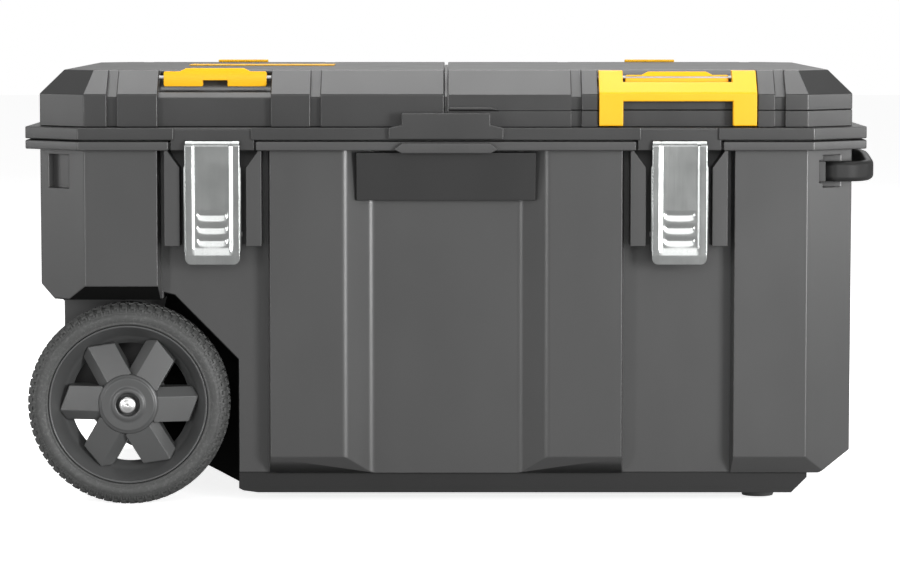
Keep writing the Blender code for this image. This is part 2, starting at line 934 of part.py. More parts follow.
def make_wheel(name, side, parent, rubber, plastic):
    """A tyre round a spoked wheel; side is -1 at the front and 1 at the rear."""
    face = half_depth - wheel_front
    inner = face - wheel_width

    def along(depth):
        return side * (face - depth)

    crown = wheel_radius - 0.0035
    tyre_profile = [
        (rim_radius + gap, along(0.003)),
        (rim_radius + 0.004, along(0.0)),
        (wheel_radius - 0.008, along(0.0)),
        (crown, along(0.004)),
        (wheel_radius, along(0.010)),
        (wheel_radius, along(wheel_width - 0.010)),
        (crown, along(wheel_width - 0.004)),
        (wheel_radius - 0.008, along(wheel_width)),
        (rim_radius + 0.004, along(wheel_width)),
        (rim_radius + gap, along(wheel_width - 0.003)),
    ]
    tyre = turned("tyre_" + name, tyre_profile, wheel_x, axle_height, wheel_sides)
    hold(tyre, parent, rubber, True)

    rim_in = rim_radius - rim_thickness
    disc = 0.012
    hub_profile = [
        (rim_radius, along(0.003)),
        (rim_radius, along(wheel_width - 0.003)),
        (rim_in, along(wheel_width - 0.003)),
        (rim_in, along(disc + disc_thickness)),
        (hub_radius, along(disc + disc_thickness)),
        (hub_radius - 0.010, along(wheel_width - 0.002)),
        (hub_radius - 0.010, along(wheel_width)),
        (axle_radius + axle_play, along(wheel_width)),
        (axle_radius + axle_play, along(0.003)),
        (0.0113, along(0.003)),
        (0.0113, along(0.0)),
        (0.018, along(0.0)),
        (0.018, along(0.002)),
        (hub_radius, along(0.004)),
        (hub_radius, along(disc - 0.004)),
        (rim_in, along(disc)),
        (rim_in, along(0.003)),
    ]
    wheel = turned("wheel_" + name, hub_profile, wheel_x, axle_height, wheel_sides)
    apex = spoke_half / math.sin(math.radians(30)) + 0.003
    reach = math.sqrt(spoke_end**2 - spoke_half**2)
    corner = Vector((reach, 0.0)) + Vector((0.0, -spoke_half))
    corner.rotate(Matrix.Rotation(math.radians(30), 2))
    window = [(apex, 0.0), (corner.x, -abs(corner.y)), (spoke_end, 0.0), (corner.x, abs(corner.y))]
    low_y, high_y = sorted((along(-0.010), along(wheel_width + 0.010)))
    for k in range(6):
        turn = Matrix.Rotation(math.radians(30 + 60 * k), 2)
        points = [turn @ Vector(point) for point in window]
        points = [(wheel_x + point.x, axle_height + point.y) for point in points]
        cut(wheel, prism("spoke_window", points, low_y, high_y, "Y"))
    hold(wheel, parent, plastic, True)


def make_lid(parent, finish):
    notch = lip_half - 0.003
    outline = frame_outline(rim_overhang, notch, lip_front - 0.0005)
    lid = prism("lid_panel", outline, lid_bottom, lid_top)
    hollow = frame_outline(-0.008)
    cut(lid, prism("lid_hollow", hollow, lid_bottom - 0.010, lid_top - deck))
    outer = frame_outline(-seal_inset)
    ring = ring_prism("seal_groove", outer, seal_width + 2 * gap, lid_bottom - 0.005,
                      lid_bottom + seal_height - 0.0005)
    cut(lid, ring)
    settle(lid)
    for side in (-1, 1):
        near, far = sorted((side * lid_well_inner, side * lid_well_outer))
        low = (near, -lid_well_half, lid_well_floor)
        join(lid, box("lid_well", low, (far, lid_well_half, lid_top - 0.002)))
    settle(lid)
    for side in (-1, 1):
        near, far = sorted((side * (lid_well_inner + lid_well_wall), side * (lid_well_outer - lid_well_wall)))
        half = lid_well_half - lid_well_wall
        low = (near, -half, lid_well_floor + lid_well_wall)
        cut(lid, box("lid_well_space", low, (far, half, lid_top + 0.010)))
    for side in (-1, 1):
        x = side * column_x
        low = (x - lip_half, front - lip_front, lid_bottom - lip_drop)
        join(lid, box("catch_lip", low, (x + lip_half, front - lip_back, lid_top - 0.002)))
    boss = [
        (-boss_half - boss_taper, lid_top),
        (-boss_half - boss_taper, lid_bottom + 0.001),
        (boss_half + boss_taper, lid_bottom + 0.001),
        (boss_half + boss_taper, lid_top),
        (boss_half, lid_top + 0.003),
        (boss_half, boss_top),
        (-boss_half, boss_top),
        (-boss_half, lid_top + 0.003),
    ]
    join(lid, prism("lid_boss", boss, front - tab_reach, front - 0.001, "Y"))
    join(lid, *lid_hinge_knuckles("lid", 1))
    join(lid, *cover_lugs("lid", -1, lid_top - 0.002, left_axis_height))
    settle(lid)
    cut(lid, *hinge_holes())
    cut(lid, cover_pin_hole(-1, left_axis_height))
    return hold(lid, parent, finish)


def ring_prism(name, outline, width, low, high):
    """A flat ring inside an outline."""
    ring = prism(name, outline, low, high)
    cut(ring, prism(name + "_inside", inset(outline, width), low - 0.010, high + 0.010))
    return settle(ring)


def make_seal(parent, rubber):
    outline = frame_outline(-seal_inset - gap)
    seal = ring_prism("rim_seal", outline, seal_width, rim_top + gap, lid_bottom + seal_height - 0.0005 - gap)
    return hold(seal, parent, rubber)


def cover_lugs(owner, side, foot, axis_height):
    """Two upright lugs behind a cover, which carry its hinge pin."""
    made = []
    x = side * clip_x
    for place in (-1, 1):
        near, far = sorted((x + place * 0.0215, x + place * 0.0295))
        across = (cover_axis_y, axis_height)
        eye = rod(owner + "_lug", cover_knuckle_radius + 0.0005, near, far, across)
        low = (near, cover_axis_y - 0.004, foot)
        high = (far, cover_axis_y + 0.004, axis_height)
        join(eye, box(owner + "_lug_foot", low, high))
        made.append(settle(eye))
    return made


def cover_pin_hole(side, axis_height):
    x = side * clip_x
    across = (cover_axis_y, axis_height)
    return rod("cover_pin_hole", cover_pin_radius + gap, x - 0.040, x + 0.040, across)


def make_cover_pin(name, side, axis_height, parent, steel):
    x = side * clip_x
    across = (cover_axis_y, axis_height)
    pin = rod(name, cover_pin_radius, x - 0.031, x + 0.031, across)
    return hold(pin, parent, steel, True)


def unit_outline(grow=0.0, inner=slot_half):
    """The outline of the right top unit, counter-clockwise from the front at the slot."""
    x = half_length
    y = half_depth
    plain = [
        (inner, -y),
        (x - corner_x, -y),
        (x, -y + corner_y),
        (x, y - corner_y),
        (x - corner_x, y),
        (inner, y),
    ]
    return offset_edges(plain, [-grow] * 5 + [0.0])


def unit_rings(bottom, thickness):
    """Heights and outlines of a top unit's surface, moved in by a thickness."""
    low = offset_edges(unit_outline(), [thickness] * 5 + [thickness])
    run = crown_height - thickness + thickness * tan_half_45
    top = offset_edges(unit_outline(), [thickness + run] * 5 + [thickness])
    fold = fold_height - thickness * tan_half_45
    return [(bottom, low), (fold, low), (top_height - thickness, top)]


def flipped(rings):
    return [(height, mirrored(outline)) for height, outline in rings]


def surface_band(depth, out=0.020):
    """What lies outside the front surface of a top unit moved in by a depth, as (y, z)."""
    y = front + depth
    fold = fold_height - depth * tan_half_45
    rise = top_height + 0.015 - fold
    return [
        (front - out, lid_top - 0.006),
        (y, lid_top - 0.006),
        (y, fold),
        (y + rise, fold + rise),
        (front - out, fold + rise),
    ]


def rear_side(points):
    return [(-y, z) for y, z in points]


def groove_cutters(side):
    made = []
    for x in groove_x:
        for points in (surface_band(groove_depth), rear_side(surface_band(groove_depth))):
            low, high = sorted((side * x - groove_half, side * x + groove_half))
            made.append(prism("top_groove", points, low, high, "X"))
    return made


def groove_walls(side):
    made = []
    back = crown_height + groove_depth + shell
    for x in groove_x:
        for end in (-1, 1):
            near, far = sorted((end * (half_depth + 0.010), end * (half_depth - back)))
            low = (side * x - groove_half - shell, near, lid_top - 0.010)
            made.append(box("groove_wall", low, (side * x + groove_half + shell, far, top_height + 0.010)))
    return made


def latch_space(name, side, half, depth):
    """The recess for a rocker latch: in behind the front surface, and round the pin."""
    x = side * latch_x
    low, high = x - half, x + half
    band = prism(name + "_band", surface_band(depth), low, high, "X")
    turn = rod(name + "_turn", rocker_clear_radius, low + 0.0008, high - 0.0008, rocker_pin, "X", 32)
    return band, turn


def latch_wall(side, half):
    x = side * latch_x
    back = rocker_pin[0] + rocker_clear_radius + shell
    low = (x - half - shell, front - 0.010, lid_top - 0.010)
    return box("latch_wall", low, (x + half + shell, back, top_height + 0.010))


def make_cover(name, side, bottom, half, depth, parent, finish):
    """A hollow top unit from a given height up, with its grooves and its latch recess."""
    rings = unit_rings(bottom, 0.0)
    space = unit_rings(bottom - 0.010, shell)
    if side < 0:
        rings = flipped(rings)
        space = flipped(space)
    cover = loft(name, rings)
    inside = loft(name + "_space", space)
    cut(inside, *groove_walls(side))
    cut(inside, latch_wall(side, half))
    settle(inside)
    cut(cover, inside)
    cut(cover, *groove_cutters(side))
    cut(cover, *latch_space(name + "_latch", side, half, depth))
    if side > 0:
        tab = [
            (tab_block[0], seam_height + 0.0035),
            (tab_block[0], seam_height + gap),
            (tab_block[1] + 0.010, seam_height + gap),
            (tab_block[1], seam_height + 0.0035),
        ]
        join(cover, prism(name + "_tab", tab, front - 0.006, front + 0.001, "Y"))
    return hold(cover, parent, finish)


def rear_path(outward, end):
    """The rear surface of a top unit moved out, from the flat top down to a height."""
    y = half_depth + outward
    fold = fold_height + outward * tan_half_45
    top = top_height + outward
    return [
        (half_depth - crown_height - 0.010, top),
        (y - (top - fold), top),
        (y, fold),
        (y, end),
    ]


def make_clip(name, side, axis_height, parent, finish):
    """The hinge clip over the rear edge, down to its eye on the cover's pin."""
    x = side * clip_x
    band = rear_path(gap, axis_height) + rear_path(gap + clip_thickness, axis_height)[::-1]
    clip = prism(name, band, x - clip_half, x + clip_half, "X")
    reach = 0.0205
    eye = rod(name + "_eye", cover_knuckle_radius, x - reach, x + reach, (cover_axis_y, axis_height))
    low = (x - reach, half_depth + gap + 0.0005, axis_height - 0.0015)
    join(eye, box(name + "_web", low, (x + reach, cover_axis_y, axis_height + cover_knuckle_radius)))
    settle(eye)
    join(clip, eye)
    settle(clip)
    cut(clip, cover_pin_hole(side, axis_height))
    for place in (-1, 1):
        near, far = sorted((x + place * 0.0208, x + place * 0.040))
        low = (near, half_depth + gap - 0.001, axis_height - 0.02)
        cut(clip, box(name + "_lug_room", low, (far, cover_axis_y + 0.02, axis_height + 0.0065)))
    return hold(clip, parent, finish)


def slope_point(along, inward):
    """A point by its distance up the front slope from the pin and its depth behind it."""
    half = math.sqrt(0.5)
    return (rocker_pin[0] + (along + inward) * half, rocker_pin[1] + (along - inward) * half)


def make_rocker(name, side, reach, parent, finish):
    """A rocker latch: a bar across the slope, raised in the middle, turning on its pin."""
    x = side * latch_x
    outer = -rocker_pin_inset - 0.0015
    inner = outer + rocker_thickness
    bar = [
        slope_point(-reach, outer + 0.001),
        slope_point(-reach + 0.002, outer),
        slope_point(rocker_reach_top - 0.003, outer),
        slope_point(rocker_reach_top, outer + 0.003),
        slope_point(rocker_reach_top - 0.001, inner),
        slope_point(-reach, inner),
    ][::-1]
    rocker = prism(name, bar, x - rocker_half, x + rocker_half, "X")
    raised = [
        slope_point(-reach + 0.005, outer + 0.001),
        slope_point(-reach + 0.008, outer - rocker_raise),
        slope_point(rocker_reach_top - 0.002, outer - rocker_raise),
        slope_point(rocker_reach_top + 0.0015, outer + 0.002),
        slope_point(rocker_reach_top - 0.001, outer + 0.004),
    ][::-1]
    join(rocker, prism(name + "_raise", raised, x - rocker_raise_half, x + rocker_raise_half, "X"))
    settle(rocker)
    notch = [
        slope_point(-reach - 0.002, outer - 0.004),
        slope_point(-reach + 0.005, outer - 0.004),
        slope_point(-reach + 0.005, inner + 0.004),
        slope_point(-reach - 0.002, inner + 0.004),
    ][::-1]
    cut(rocker, prism(name + "_notch", notch, x - 0.012, x + 0.012, "X"))
    hole = rod(name + "_hole", rocker_pin_radius + gap, x - 0.06, x + 0.06, rocker_pin)
    cut(rocker, hole)
    return hold(rocker, parent, finish)


def make_rocker_pin(name, side, half, parent, steel):
    x = side * latch_x
    pin = rod(name, rocker_pin_radius, x - half, x + half, rocker_pin)
    return hold(pin, parent, steel, True)


def handle_path(outward, bottom, top):
    """The carry handle's surface: up the front face and on up the slope."""
    y = front - outward
    fold = fold_height + outward * tan_half_45
    return [(y, bottom), (y, fold), (y + top - fold, top)]


def make_carry_handle(parent, finish):
    """Two legs on the latch pin, joined by a bar across the fold."""
    x = latch_x
    top = top_height - handle_top_drop
    outer = handle_path(handle_proud, handle_bottom, top)
    inner = handle_path(handle_proud - handle_thickness, handle_bottom, top)
    handle = prism("carry_handle", outer[::-1] + inner, x - handle_half, x + handle_half, "X")
    inside = handle_half - handle_leg
    low = (x - inside, front - 0.030, handle_bottom - 0.010)
    cut(handle, box("finger_opening", low, (x + inside, front + 0.030, handle_bar_low)))
    half = math.sqrt(0.5)
    fold = Vector((front, fold_height))
    up = Vector((half, half))
    across = Vector((half, -half))
    edge = fold + up * handle_bar_top
    above = [
        edge - across * 0.020,
        edge + across * 0.020,
        edge + across * 0.020 + up * 0.040,
        edge - across * 0.020 + up * 0.040,
    ]
    cut(handle, prism("latch_gap", above, x - inside, x + inside, "X"))
    settle(handle)
    cut(handle, rod("carry_hole", rocker_pin_radius + gap, x - 0.1, x + 0.1, rocker_pin))
    return hold(handle, parent, finish)


def make_tray(parent, finish):
    """The organizer's tray: a rim that shows, and a body that drops into the lid's right well."""
    slack = 0.001
    inner = lid_well_inner + lid_well_wall + slack
    outer = lid_well_outer - lid_well_wall - slack
    half = lid_well_half - lid_well_wall - slack
    floor = lid_well_floor + lid_well_wall + gap
    tray = prism("organizer_tray", unit_outline(), unit_bottom, seam_height - gap)
    join(tray, box("tray_body", (inner, -half, floor), (outer, half, unit_bottom + 0.002)))
    settle(tray)
    space_outline = offset_edges(unit_outline(), [shell] * 6)
    space = prism("tray_space", space_outline, unit_bottom + shell, seam_height + 0.010)
    cut(space, *groove_walls(1))
    cut(space, latch_wall_for_tray())
    settle(space)
    cut(tray, space)
    low = (inner + shell, -half + shell, floor + shell)
    cut(tray, box("tray_body_space", low, (outer - shell, half - shell, unit_bottom + shell + 0.001)))
    cut(tray, *groove_cutters(1))
    band = surface_band(handle_pocket_depth)
    low, high = latch_x - handle_pocket_half, latch_x + handle_pocket_half
    cut(tray, prism("tray_handle_recess", band, low, high, "X"))
    join(tray, *organizer_lugs())
    settle(tray)
    cut(tray, cover_pin_hole(1, organizer_axis_height))
    return hold(tray, parent, finish)


def latch_wall_for_tray():
    half = handle_pocket_half + shell
    back = front + handle_pocket_depth + shell
    low = (latch_x - half, front - 0.010, lid_top - 0.010)
    return box("tray_latch_wall", low, (latch_x + half, back, seam_height + 0.020))


def organizer_lugs():
    """The tray's hinge lugs, which stand out behind its rear wall."""
    made = []
    for place in (-1, 1):
        near, far = sorted((clip_x + place * 0.0215, clip_x + place * 0.0295))
        across = (cover_axis_y, organizer_axis_height)
        eye = rod("tray_lug", cover_knuckle_radius + 0.0005, near, far, across)
        foot_low = (near, half_depth - 0.001, unit_bottom + 0.003)
        join(eye, box("tray_lug_foot", foot_low, (far, cover_axis_y + 0.0045, seam_height - 2 * gap)))
        neck_low = (near, cover_axis_y - 0.0035, seam_height - 0.002)
        join(eye, box("tray_lug_neck", neck_low, (far, cover_axis_y + 0.0045, organizer_axis_height)))
        made.append(settle(eye))
    return made


def make_dividers(lid_body, tray_body, finish):
    half = lid_well_half - lid_well_wall - gap
    middle = -(lid_well_inner + lid_well_outer) / 2
    floor = lid_well_floor + lid_well_wall + gap
    low = (middle - 0.001, -half, floor)
    divider = box("left_divider", low, (middle + 0.001, half, lid_top - 0.001))
    hold(divider, lid_body, finish)
    inner = lid_well_inner + lid_well_wall
    outer = lid_well_outer - lid_well_wall
    tray_half = half - 0.001 - shell
    tray_floor = floor + shell + gap
    for i in (1, 2):
        x = inner + (outer - inner) * i / 3
        low = (x - 0.001, -tray_half, tray_floor)
        wall_piece = box(f"organizer_divider_{i}", low, (x + 0.001, tray_half, seam_height - 0.003))
        hold(wall_piece, tray_body, finish)


def make_draw_bracket(name, side, parent, finish, steel):
    """The black bracket in a column: guards on both sides and lugs for the pivot pin."""
    x = side * draw_x
    back = column_floor - gap
    low_z = flange_bottom
    high_z = rim_top - rim_height - gap
    base = [
        (x - guard_outer, low_z),
        (x + guard_outer, low_z),
        (x + guard_outer, high_z),
        (x - guard_outer, high_z),
    ]
    bracket = prism(name, base, back - bracket_base, back, "Y")
    for place in (-1, 1):
        guard = [
            (x + place * guard_inner, low_z),
            (x + place * guard_outer, low_z),
            (x + place * guard_outer, high_z),
            (x + place * (guard_outer - 0.003), high_z),
            (x + place * guard_inner, high_z - 0.017),
        ]
        join(bracket, prism("guard", guard, back - guard_reach, back - 0.001, "Y"))
        near, far = sorted((x + place * lug_inner, x + place * (lug_inner + lug_thickness)))
        lug = rod("lug", lug_radius, near, far, (pivot_y, pivot_height))
        low = (near, pivot_y, pivot_height - lug_radius)
        join(lug, box("lug_foot", low, (far, back - 0.001, pivot_height + lug_radius)))
        join(bracket, settle(lug))
    settle(bracket)
    hole = rod("pivot_hole", pin_radius + gap, x - 0.030, x + 0.030, (pivot_y, pivot_height))
    cut(bracket, hole)
    hold(bracket, parent, finish)
    reach = link_inner + link_thickness + 0.0004
    pin_name = name.replace("bracket", "pivot_pin")
    pin = rod(pin_name, pin_radius, x - reach, x + reach, (pivot_y, pivot_height))
    hold(pin, parent, steel, True)


def draw_pin_place():
    return (pivot_y - link_forward, pivot_height - link_drop)


def make_draw_link(name, side, parent, steel):
    """Two cheeks between the pivot pin and the plate's pin, joined by a web."""
    x = side * draw_x
    pin_y, pin_z = draw_pin_place()
    cheeks = []
    for place in (-1, 1):
        near, far = sorted((x + place * link_inner, x + place * (link_inner + link_thickness)))
        cheek = rod(name + "_cheek", link_radius, near, far, (pivot_y, pivot_height))
        join(cheek, rod(name + "_end", link_radius, near, far, (pin_y, pin_z)))
        across = Vector((pin_z - pivot_height, pivot_y - pin_y)).normalized() * link_radius
        strap = [
            (pivot_y + across.x, pivot_height + across.y),
            (pin_y + across.x, pin_z + across.y),
            (pin_y - across.x, pin_z - across.y),
            (pivot_y - across.x, pivot_height - across.y),
        ]
        join(cheek, prism(name + "_strap", strap, near, far, "X"))
        cheeks.append(settle(cheek))
    middle = Vector((pivot_y, pivot_height)).lerp(Vector((pin_y, pin_z)), 0.62)
    reach = link_inner + 0.0005
    web_low = (x - reach, middle.x - 0.0015, middle.y - 0.002)
    link = box(name, web_low, (x + reach, middle.x + 0.0015, middle.y + 0.003))
    join(link, *cheeks)
    settle(link)
    for place in ((pivot_y, pivot_height), (pin_y, pin_z)):
        cut(link, rod(name + "_hole", pin_radius + gap, x - 0.04, x + 0.04, place))
    return hold(link, parent, steel)


def make_draw_plate(name, side, parent, steel):
    """The steel plate in front: raised centre, side flanges, rolled top edge, and its pin."""
    x = side * draw_x
    face = front - plate_front
    back = face + plate_sheet
    top = lid_bottom - 0.002
    corner = plate_corner
    outline = [(x - plate_half, top)]
    for place, start in ((-1, math.pi), (1, 1.5 * math.pi)):
        centre = (x + place * (plate_half - corner), plate_bottom + corner)
        for step in range(4):
            angle = start + step * math.pi / 6
            outline.append((centre[0] + corner * math.cos(angle), centre[1] + corner * math.sin(angle)))
    outline.append((x + plate_half, top))
    plate = prism(name, outline, face, back, "Y")
    raised = [
        (face - raise_height, raise_bottom + 0.003),
        (face + 0.0005, raise_bottom),
        (face + 0.0005, top - 0.003),
        (face - raise_height, top - 0.005),
    ]
    join(plate, prism(name + "_raise", raised, x - raise_half, x + raise_half, "X"))
    for place in (-1, 1):
        near, far = sorted((x + place * (plate_half - 0.0005), x + place * (plate_half + flange_proud)))
        low = (near, face + 0.0004, flange_bottom)
        join(plate, box(name + "_flange", low, (far, face + flange_depth, flange_top)))
    across = (face + curl_radius, top)
    join(plate, rod(name + "_curl", curl_radius, x - plate_half, x + plate_half, across))
    settle(plate)
    pin_y, pin_z = draw_pin_place()
    hole = rod(name + "_hole", pin_radius + gap, x - 0.04, x + 0.04, (pin_y, pin_z))
    cut(plate, hole)
    hold(plate, parent, steel)
    reach = plate_half + flange_proud + 0.0006
    pin = rod(name.replace("plate", "pin"), pin_radius, x - reach, x + reach, (pin_y, pin_z))
    return hold(pin, parent, steel, True)


def pull_outline():
    """The U of the pull handle seen from above: outer edge, then inner edge."""
    outer_x = pull_reach
    outer_y = pull_y + pull_thickness / 2
    inner_x = outer_x - pull_thickness
    inner_y = outer_y - pull_thickness

    def bend(x, y, radius, start):
        points = []
        for step in range(6):
            angle = math.radians(start + 90 * step / 5)
            points.append((x + radius * math.cos(angle), y + radius * math.sin(angle)))
        return points

    big = pull_corner + pull_thickness / 2
    small = pull_corner - pull_thickness / 2
    outer = [(grip_start, -outer_y)]
    outer += bend(outer_x - big, -outer_y + big, big, -90)
    outer += bend(outer_x - big, outer_y - big, big, 0)
    outer += [(grip_start, outer_y)]
    inner = [(grip_start, inner_y)]
    inner += bend(inner_x - small, inner_y - small, small, 0)[::-1]
    inner += bend(inner_x - small, -inner_y + small, small, -90)[::-1]
    inner += [(grip_start, -inner_y)]
    return outer + inner


def make_pull_handle(parent, plastic, steel):
    low = pull_centre_height - pull_height / 2
    high = pull_centre_height + pull_height / 2
    grip = prism("pull_handle", pull_outline(), low, high)
    bevel = grip.modifiers.new("edges", "BEVEL")
    bevel.width = 0.003
    bevel.segments = 2
    bevel.limit_method = "ANGLE"
    bevel.angle_limit = math.radians(50)
    hold(grip, parent, plastic)
    for side, name in ((-1, "front"), (1, "rear")):
        arm = arm_space("handle_arm_" + name, side, arm_start, grip_start - gap, -0.0005)
        hold(arm, parent, steel)


def make_guides(parent, finish):
    for side, name in ((-1, "front"), (1, "rear")):
        half_z = pull_height / 2 + guide_wall
        outer = half_depth - wall - gap
        inner = pull_y - pull_thickness / 2 - guide_wall
        near, far = sorted((side * inner, side * outer))
        low = (arm_start - 0.002, near, pull_centre_height - half_z)
        guide = box("handle_guide_" + name, low, (guide_end, far, pull_centre_height + half_z))
        cut(guide, arm_space("guide_bore", side, arm_start - 0.010, guide_end + 0.010, gap))
        hold(guide, parent, finish)


def make_lid_pins(parent, steel):
    for side, name in ((-1, "left"), (1, "right")):
        reach = 1.53 * knuckle_length + 0.001
        low = side * hinge_x - reach
        high = side * hinge_x + reach
        pin = rod("lid_hinge_pin_" + name, pin_radius, low, high, (hinge_y, hinge_z))
        hold(pin, parent, steel, True)


def make_inlay(parent, finish):
    x = -half_length * inlay_share
    low = (x - inlay_length / 2, inlay_back - inlay_width / 2, top_height + gap)
    high = (x + inlay_length / 2, inlay_back + inlay_width / 2, top_height + inlay_height)
    inlay = box("cover_inlay", low, high)
    hold(inlay, parent, finish)


def main():
    grey = material("body_grey", (0.085, 0.085, 0.086), 0.55)
    black = material("black_plastic", (0.03, 0.03, 0.031), 0.5)
    wheel_grey = material("wheel_grey", (0.07, 0.07, 0.07), 0.6)
    yellow = material("yellow_plastic", (1.0, 0.58, 0.01), 0.45)
    rubber = material("rubber", (0.03, 0.03, 0.03), 0.85)
    steel = material("latch_steel", (0.6, 0.6, 0.6), 0.3, 1.0)

    root = joint("chest_origin")
    wheel_joint = {}
    for side, name in ((-1, "front"), (1, "rear")):
        wheel_joint[side] = joint("wheel_" + name + "_axis", (wheel_x, 0.0, axle_height), root)
    lid_joint = joint("lid_axis", (0.0, hinge_y, hinge_z), root)
    left_cover_joint = joint("left_cover_axis", (-clip_x, cover_axis_y, left_axis_height), lid_joint)
    left_latch_joint = joint("left_latch_axis", (-latch_x, *rocker_pin), left_cover_joint)
    organizer_joint = joint("organizer_lift", (0.2, 0.0, lid_top), lid_joint)
    place = (clip_x, cover_axis_y, organizer_axis_height)
    organizer_cover_joint = joint("organizer_cover_axis", place, organizer_joint)
    organizer_latch_joint = joint("organizer_latch_axis", (latch_x, *rocker_pin), organizer_cover_joint)
    carry_joint = joint("carry_handle_axis", (latch_x, *rocker_pin), organizer_cover_joint)
    pull_joint = joint("pull_handle_slide", (half_length, 0.0, pull_centre_height), root)

    make_tub(root, grey)
    make_front_plate(root, black)
    make_axle(root, steel, black)
    make_feet(root, rubber)
    make_lid_pins(root, steel)
    make_guides(root, black)
    for side, name in ((-1, "front"), (1, "rear")):
        make_wheel(name, side, wheel_joint[side], rubber, wheel_grey)
    make_lid(lid_joint, grey)
    make_seal(lid_joint, rubber)
    make_dividers(lid_joint, organizer_joint, black)

    recess = (pocket_half, pocket_depth)
    make_cover("left_cover", -1, unit_bottom, *recess, left_cover_joint, grey)
    make_clip("left_hinge_clip", -1, left_axis_height, left_cover_joint, yellow)
    make_inlay(left_cover_joint, yellow)
    make_cover_pin("left_cover_pin", -1, left_axis_height, lid_joint, steel)
    make_rocker("left_latch", -1, rocker_reach_left, left_latch_joint, yellow)
    make_rocker_pin("left_latch_pin", -1, pocket_half - gap, left_cover_joint, steel)

    make_tray(organizer_joint, grey)
    make_cover_pin("organizer_cover_pin", 1, organizer_axis_height, organizer_joint, steel)
    recess = (handle_pocket_half, handle_pocket_depth)
    make_cover("organizer_cover", 1, seam_height, *recess, organizer_cover_joint, grey)
    make_clip("organizer_hinge_clip", 1, organizer_axis_height, organizer_cover_joint, yellow)
    make_rocker("organizer_latch", 1, rocker_reach_right, organizer_latch_joint, yellow)
    make_rocker_pin("organizer_latch_pin", 1, handle_pocket_half - gap, organizer_cover_joint, steel)
    make_carry_handle(carry_joint, yellow)

    for side, name in ((-1, "left"), (1, "right")):
        pivot = (side * draw_x, pivot_y, pivot_height)
        link_joint = joint(name + "_link_axis", pivot, root)
        plate_joint = joint(name + "_plate_axis", (side * draw_x, *draw_pin_place()), link_joint)
        make_draw_bracket("draw_bracket_" + name, side, root, black, steel)
        make_draw_link("draw_link_" + name, side, link_joint, steel)
        make_draw_plate("draw_plate_" + name, side, plate_joint, steel)

    make_pull_handle(pull_joint, black, steel)


main()
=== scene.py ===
import json
import math

import bmesh
import bpy
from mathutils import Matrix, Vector
from mathutils.geometry import intersect_point_line

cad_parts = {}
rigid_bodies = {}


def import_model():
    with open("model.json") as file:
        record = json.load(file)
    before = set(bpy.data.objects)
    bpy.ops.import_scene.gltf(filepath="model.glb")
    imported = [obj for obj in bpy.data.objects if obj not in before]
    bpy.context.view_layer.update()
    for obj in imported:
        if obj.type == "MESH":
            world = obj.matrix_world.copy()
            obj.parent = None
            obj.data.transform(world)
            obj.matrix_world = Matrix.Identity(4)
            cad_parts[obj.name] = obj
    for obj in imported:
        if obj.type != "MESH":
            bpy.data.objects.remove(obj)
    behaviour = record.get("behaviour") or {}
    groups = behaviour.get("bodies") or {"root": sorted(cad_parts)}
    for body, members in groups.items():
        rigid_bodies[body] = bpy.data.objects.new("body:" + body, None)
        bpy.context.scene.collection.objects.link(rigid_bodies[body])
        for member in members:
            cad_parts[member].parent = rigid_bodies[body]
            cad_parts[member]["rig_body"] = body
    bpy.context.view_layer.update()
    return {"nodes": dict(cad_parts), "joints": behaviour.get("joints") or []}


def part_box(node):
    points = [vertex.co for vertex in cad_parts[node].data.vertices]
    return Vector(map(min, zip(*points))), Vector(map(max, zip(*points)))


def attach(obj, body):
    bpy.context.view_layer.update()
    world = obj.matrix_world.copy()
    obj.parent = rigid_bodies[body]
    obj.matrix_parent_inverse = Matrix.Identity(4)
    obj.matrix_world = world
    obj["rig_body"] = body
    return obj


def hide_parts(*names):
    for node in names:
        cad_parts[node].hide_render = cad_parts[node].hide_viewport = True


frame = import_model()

nodes = frame["nodes"]
scene = bpy.context.scene
jointAt = {j["name"]: Vector(j["pos_m"]) for j in frame["joints"] if j.get("pos_m")}
print("frame loaded,", len(nodes), "nodes")


# small helpers for shader trees

def newMaterial(name):
    material = bpy.data.materials.new(name)
    material.use_nodes = True
    tree = material.node_tree
    return material, tree, tree.nodes["Principled BSDF"]


def put(tree, kind, **values):
    # adds a node; names that start with in_ set its inputs
    node = tree.nodes.new(kind)
    for key, value in values.items():
        if key.startswith("in_"):
            node.inputs[key[3:].replace("_", " ")].default_value = value
        else:
            setattr(node, key, value)
    return node


def noise(tree, place, scale, detail=2.0, roughness=0.5):
    node = put(tree, "ShaderNodeTexNoise", in_Scale=scale, in_Detail=detail, in_Roughness=roughness)
    tree.links.new(place, node.inputs["Vector"])
    return node.outputs["Fac"]


def stretch(tree, place, scale):
    # squeezes the pattern along one axis, for brushed and drawn finishes
    node = put(tree, "ShaderNodeMapping")
    node.inputs["Scale"].default_value = scale
    tree.links.new(place, node.inputs["Vector"])
    return node.outputs["Vector"]


def span(tree, value, low, high, toLow, toHigh):
    node = put(tree, "ShaderNodeMapRange")
    for name, number in (("From Min", low), ("From Max", high), ("To Min", toLow), ("To Max", toHigh)):
        node.inputs[name].default_value = number
    tree.links.new(value, node.inputs["Value"])
    return node.outputs["Result"]


def tint(tree, factor, first, second):
    node = put(tree, "ShaderNodeMix", data_type="RGBA")
    colours = [s for s in node.inputs if s.type == "RGBA"]
    for socket, colour in zip(colours, (first, second)):
        if isinstance(colour, tuple):
            socket.default_value = (*colour, 1)
        else:
            tree.links.new(colour, socket)
    tree.links.new(factor, [s for s in node.inputs if s.name == "Factor" and s.type == "VALUE"][0])
    return [s for s in node.outputs if s.type == "RGBA"][0]


def relief(tree, shader, height, strength, distance):
    node = put(tree, "ShaderNodeBump", in_Strength=strength, in_Distance=distance)
    tree.links.new(height, node.inputs["Height"])
    tree.links.new(node.outputs["Normal"], shader.inputs["Normal"])


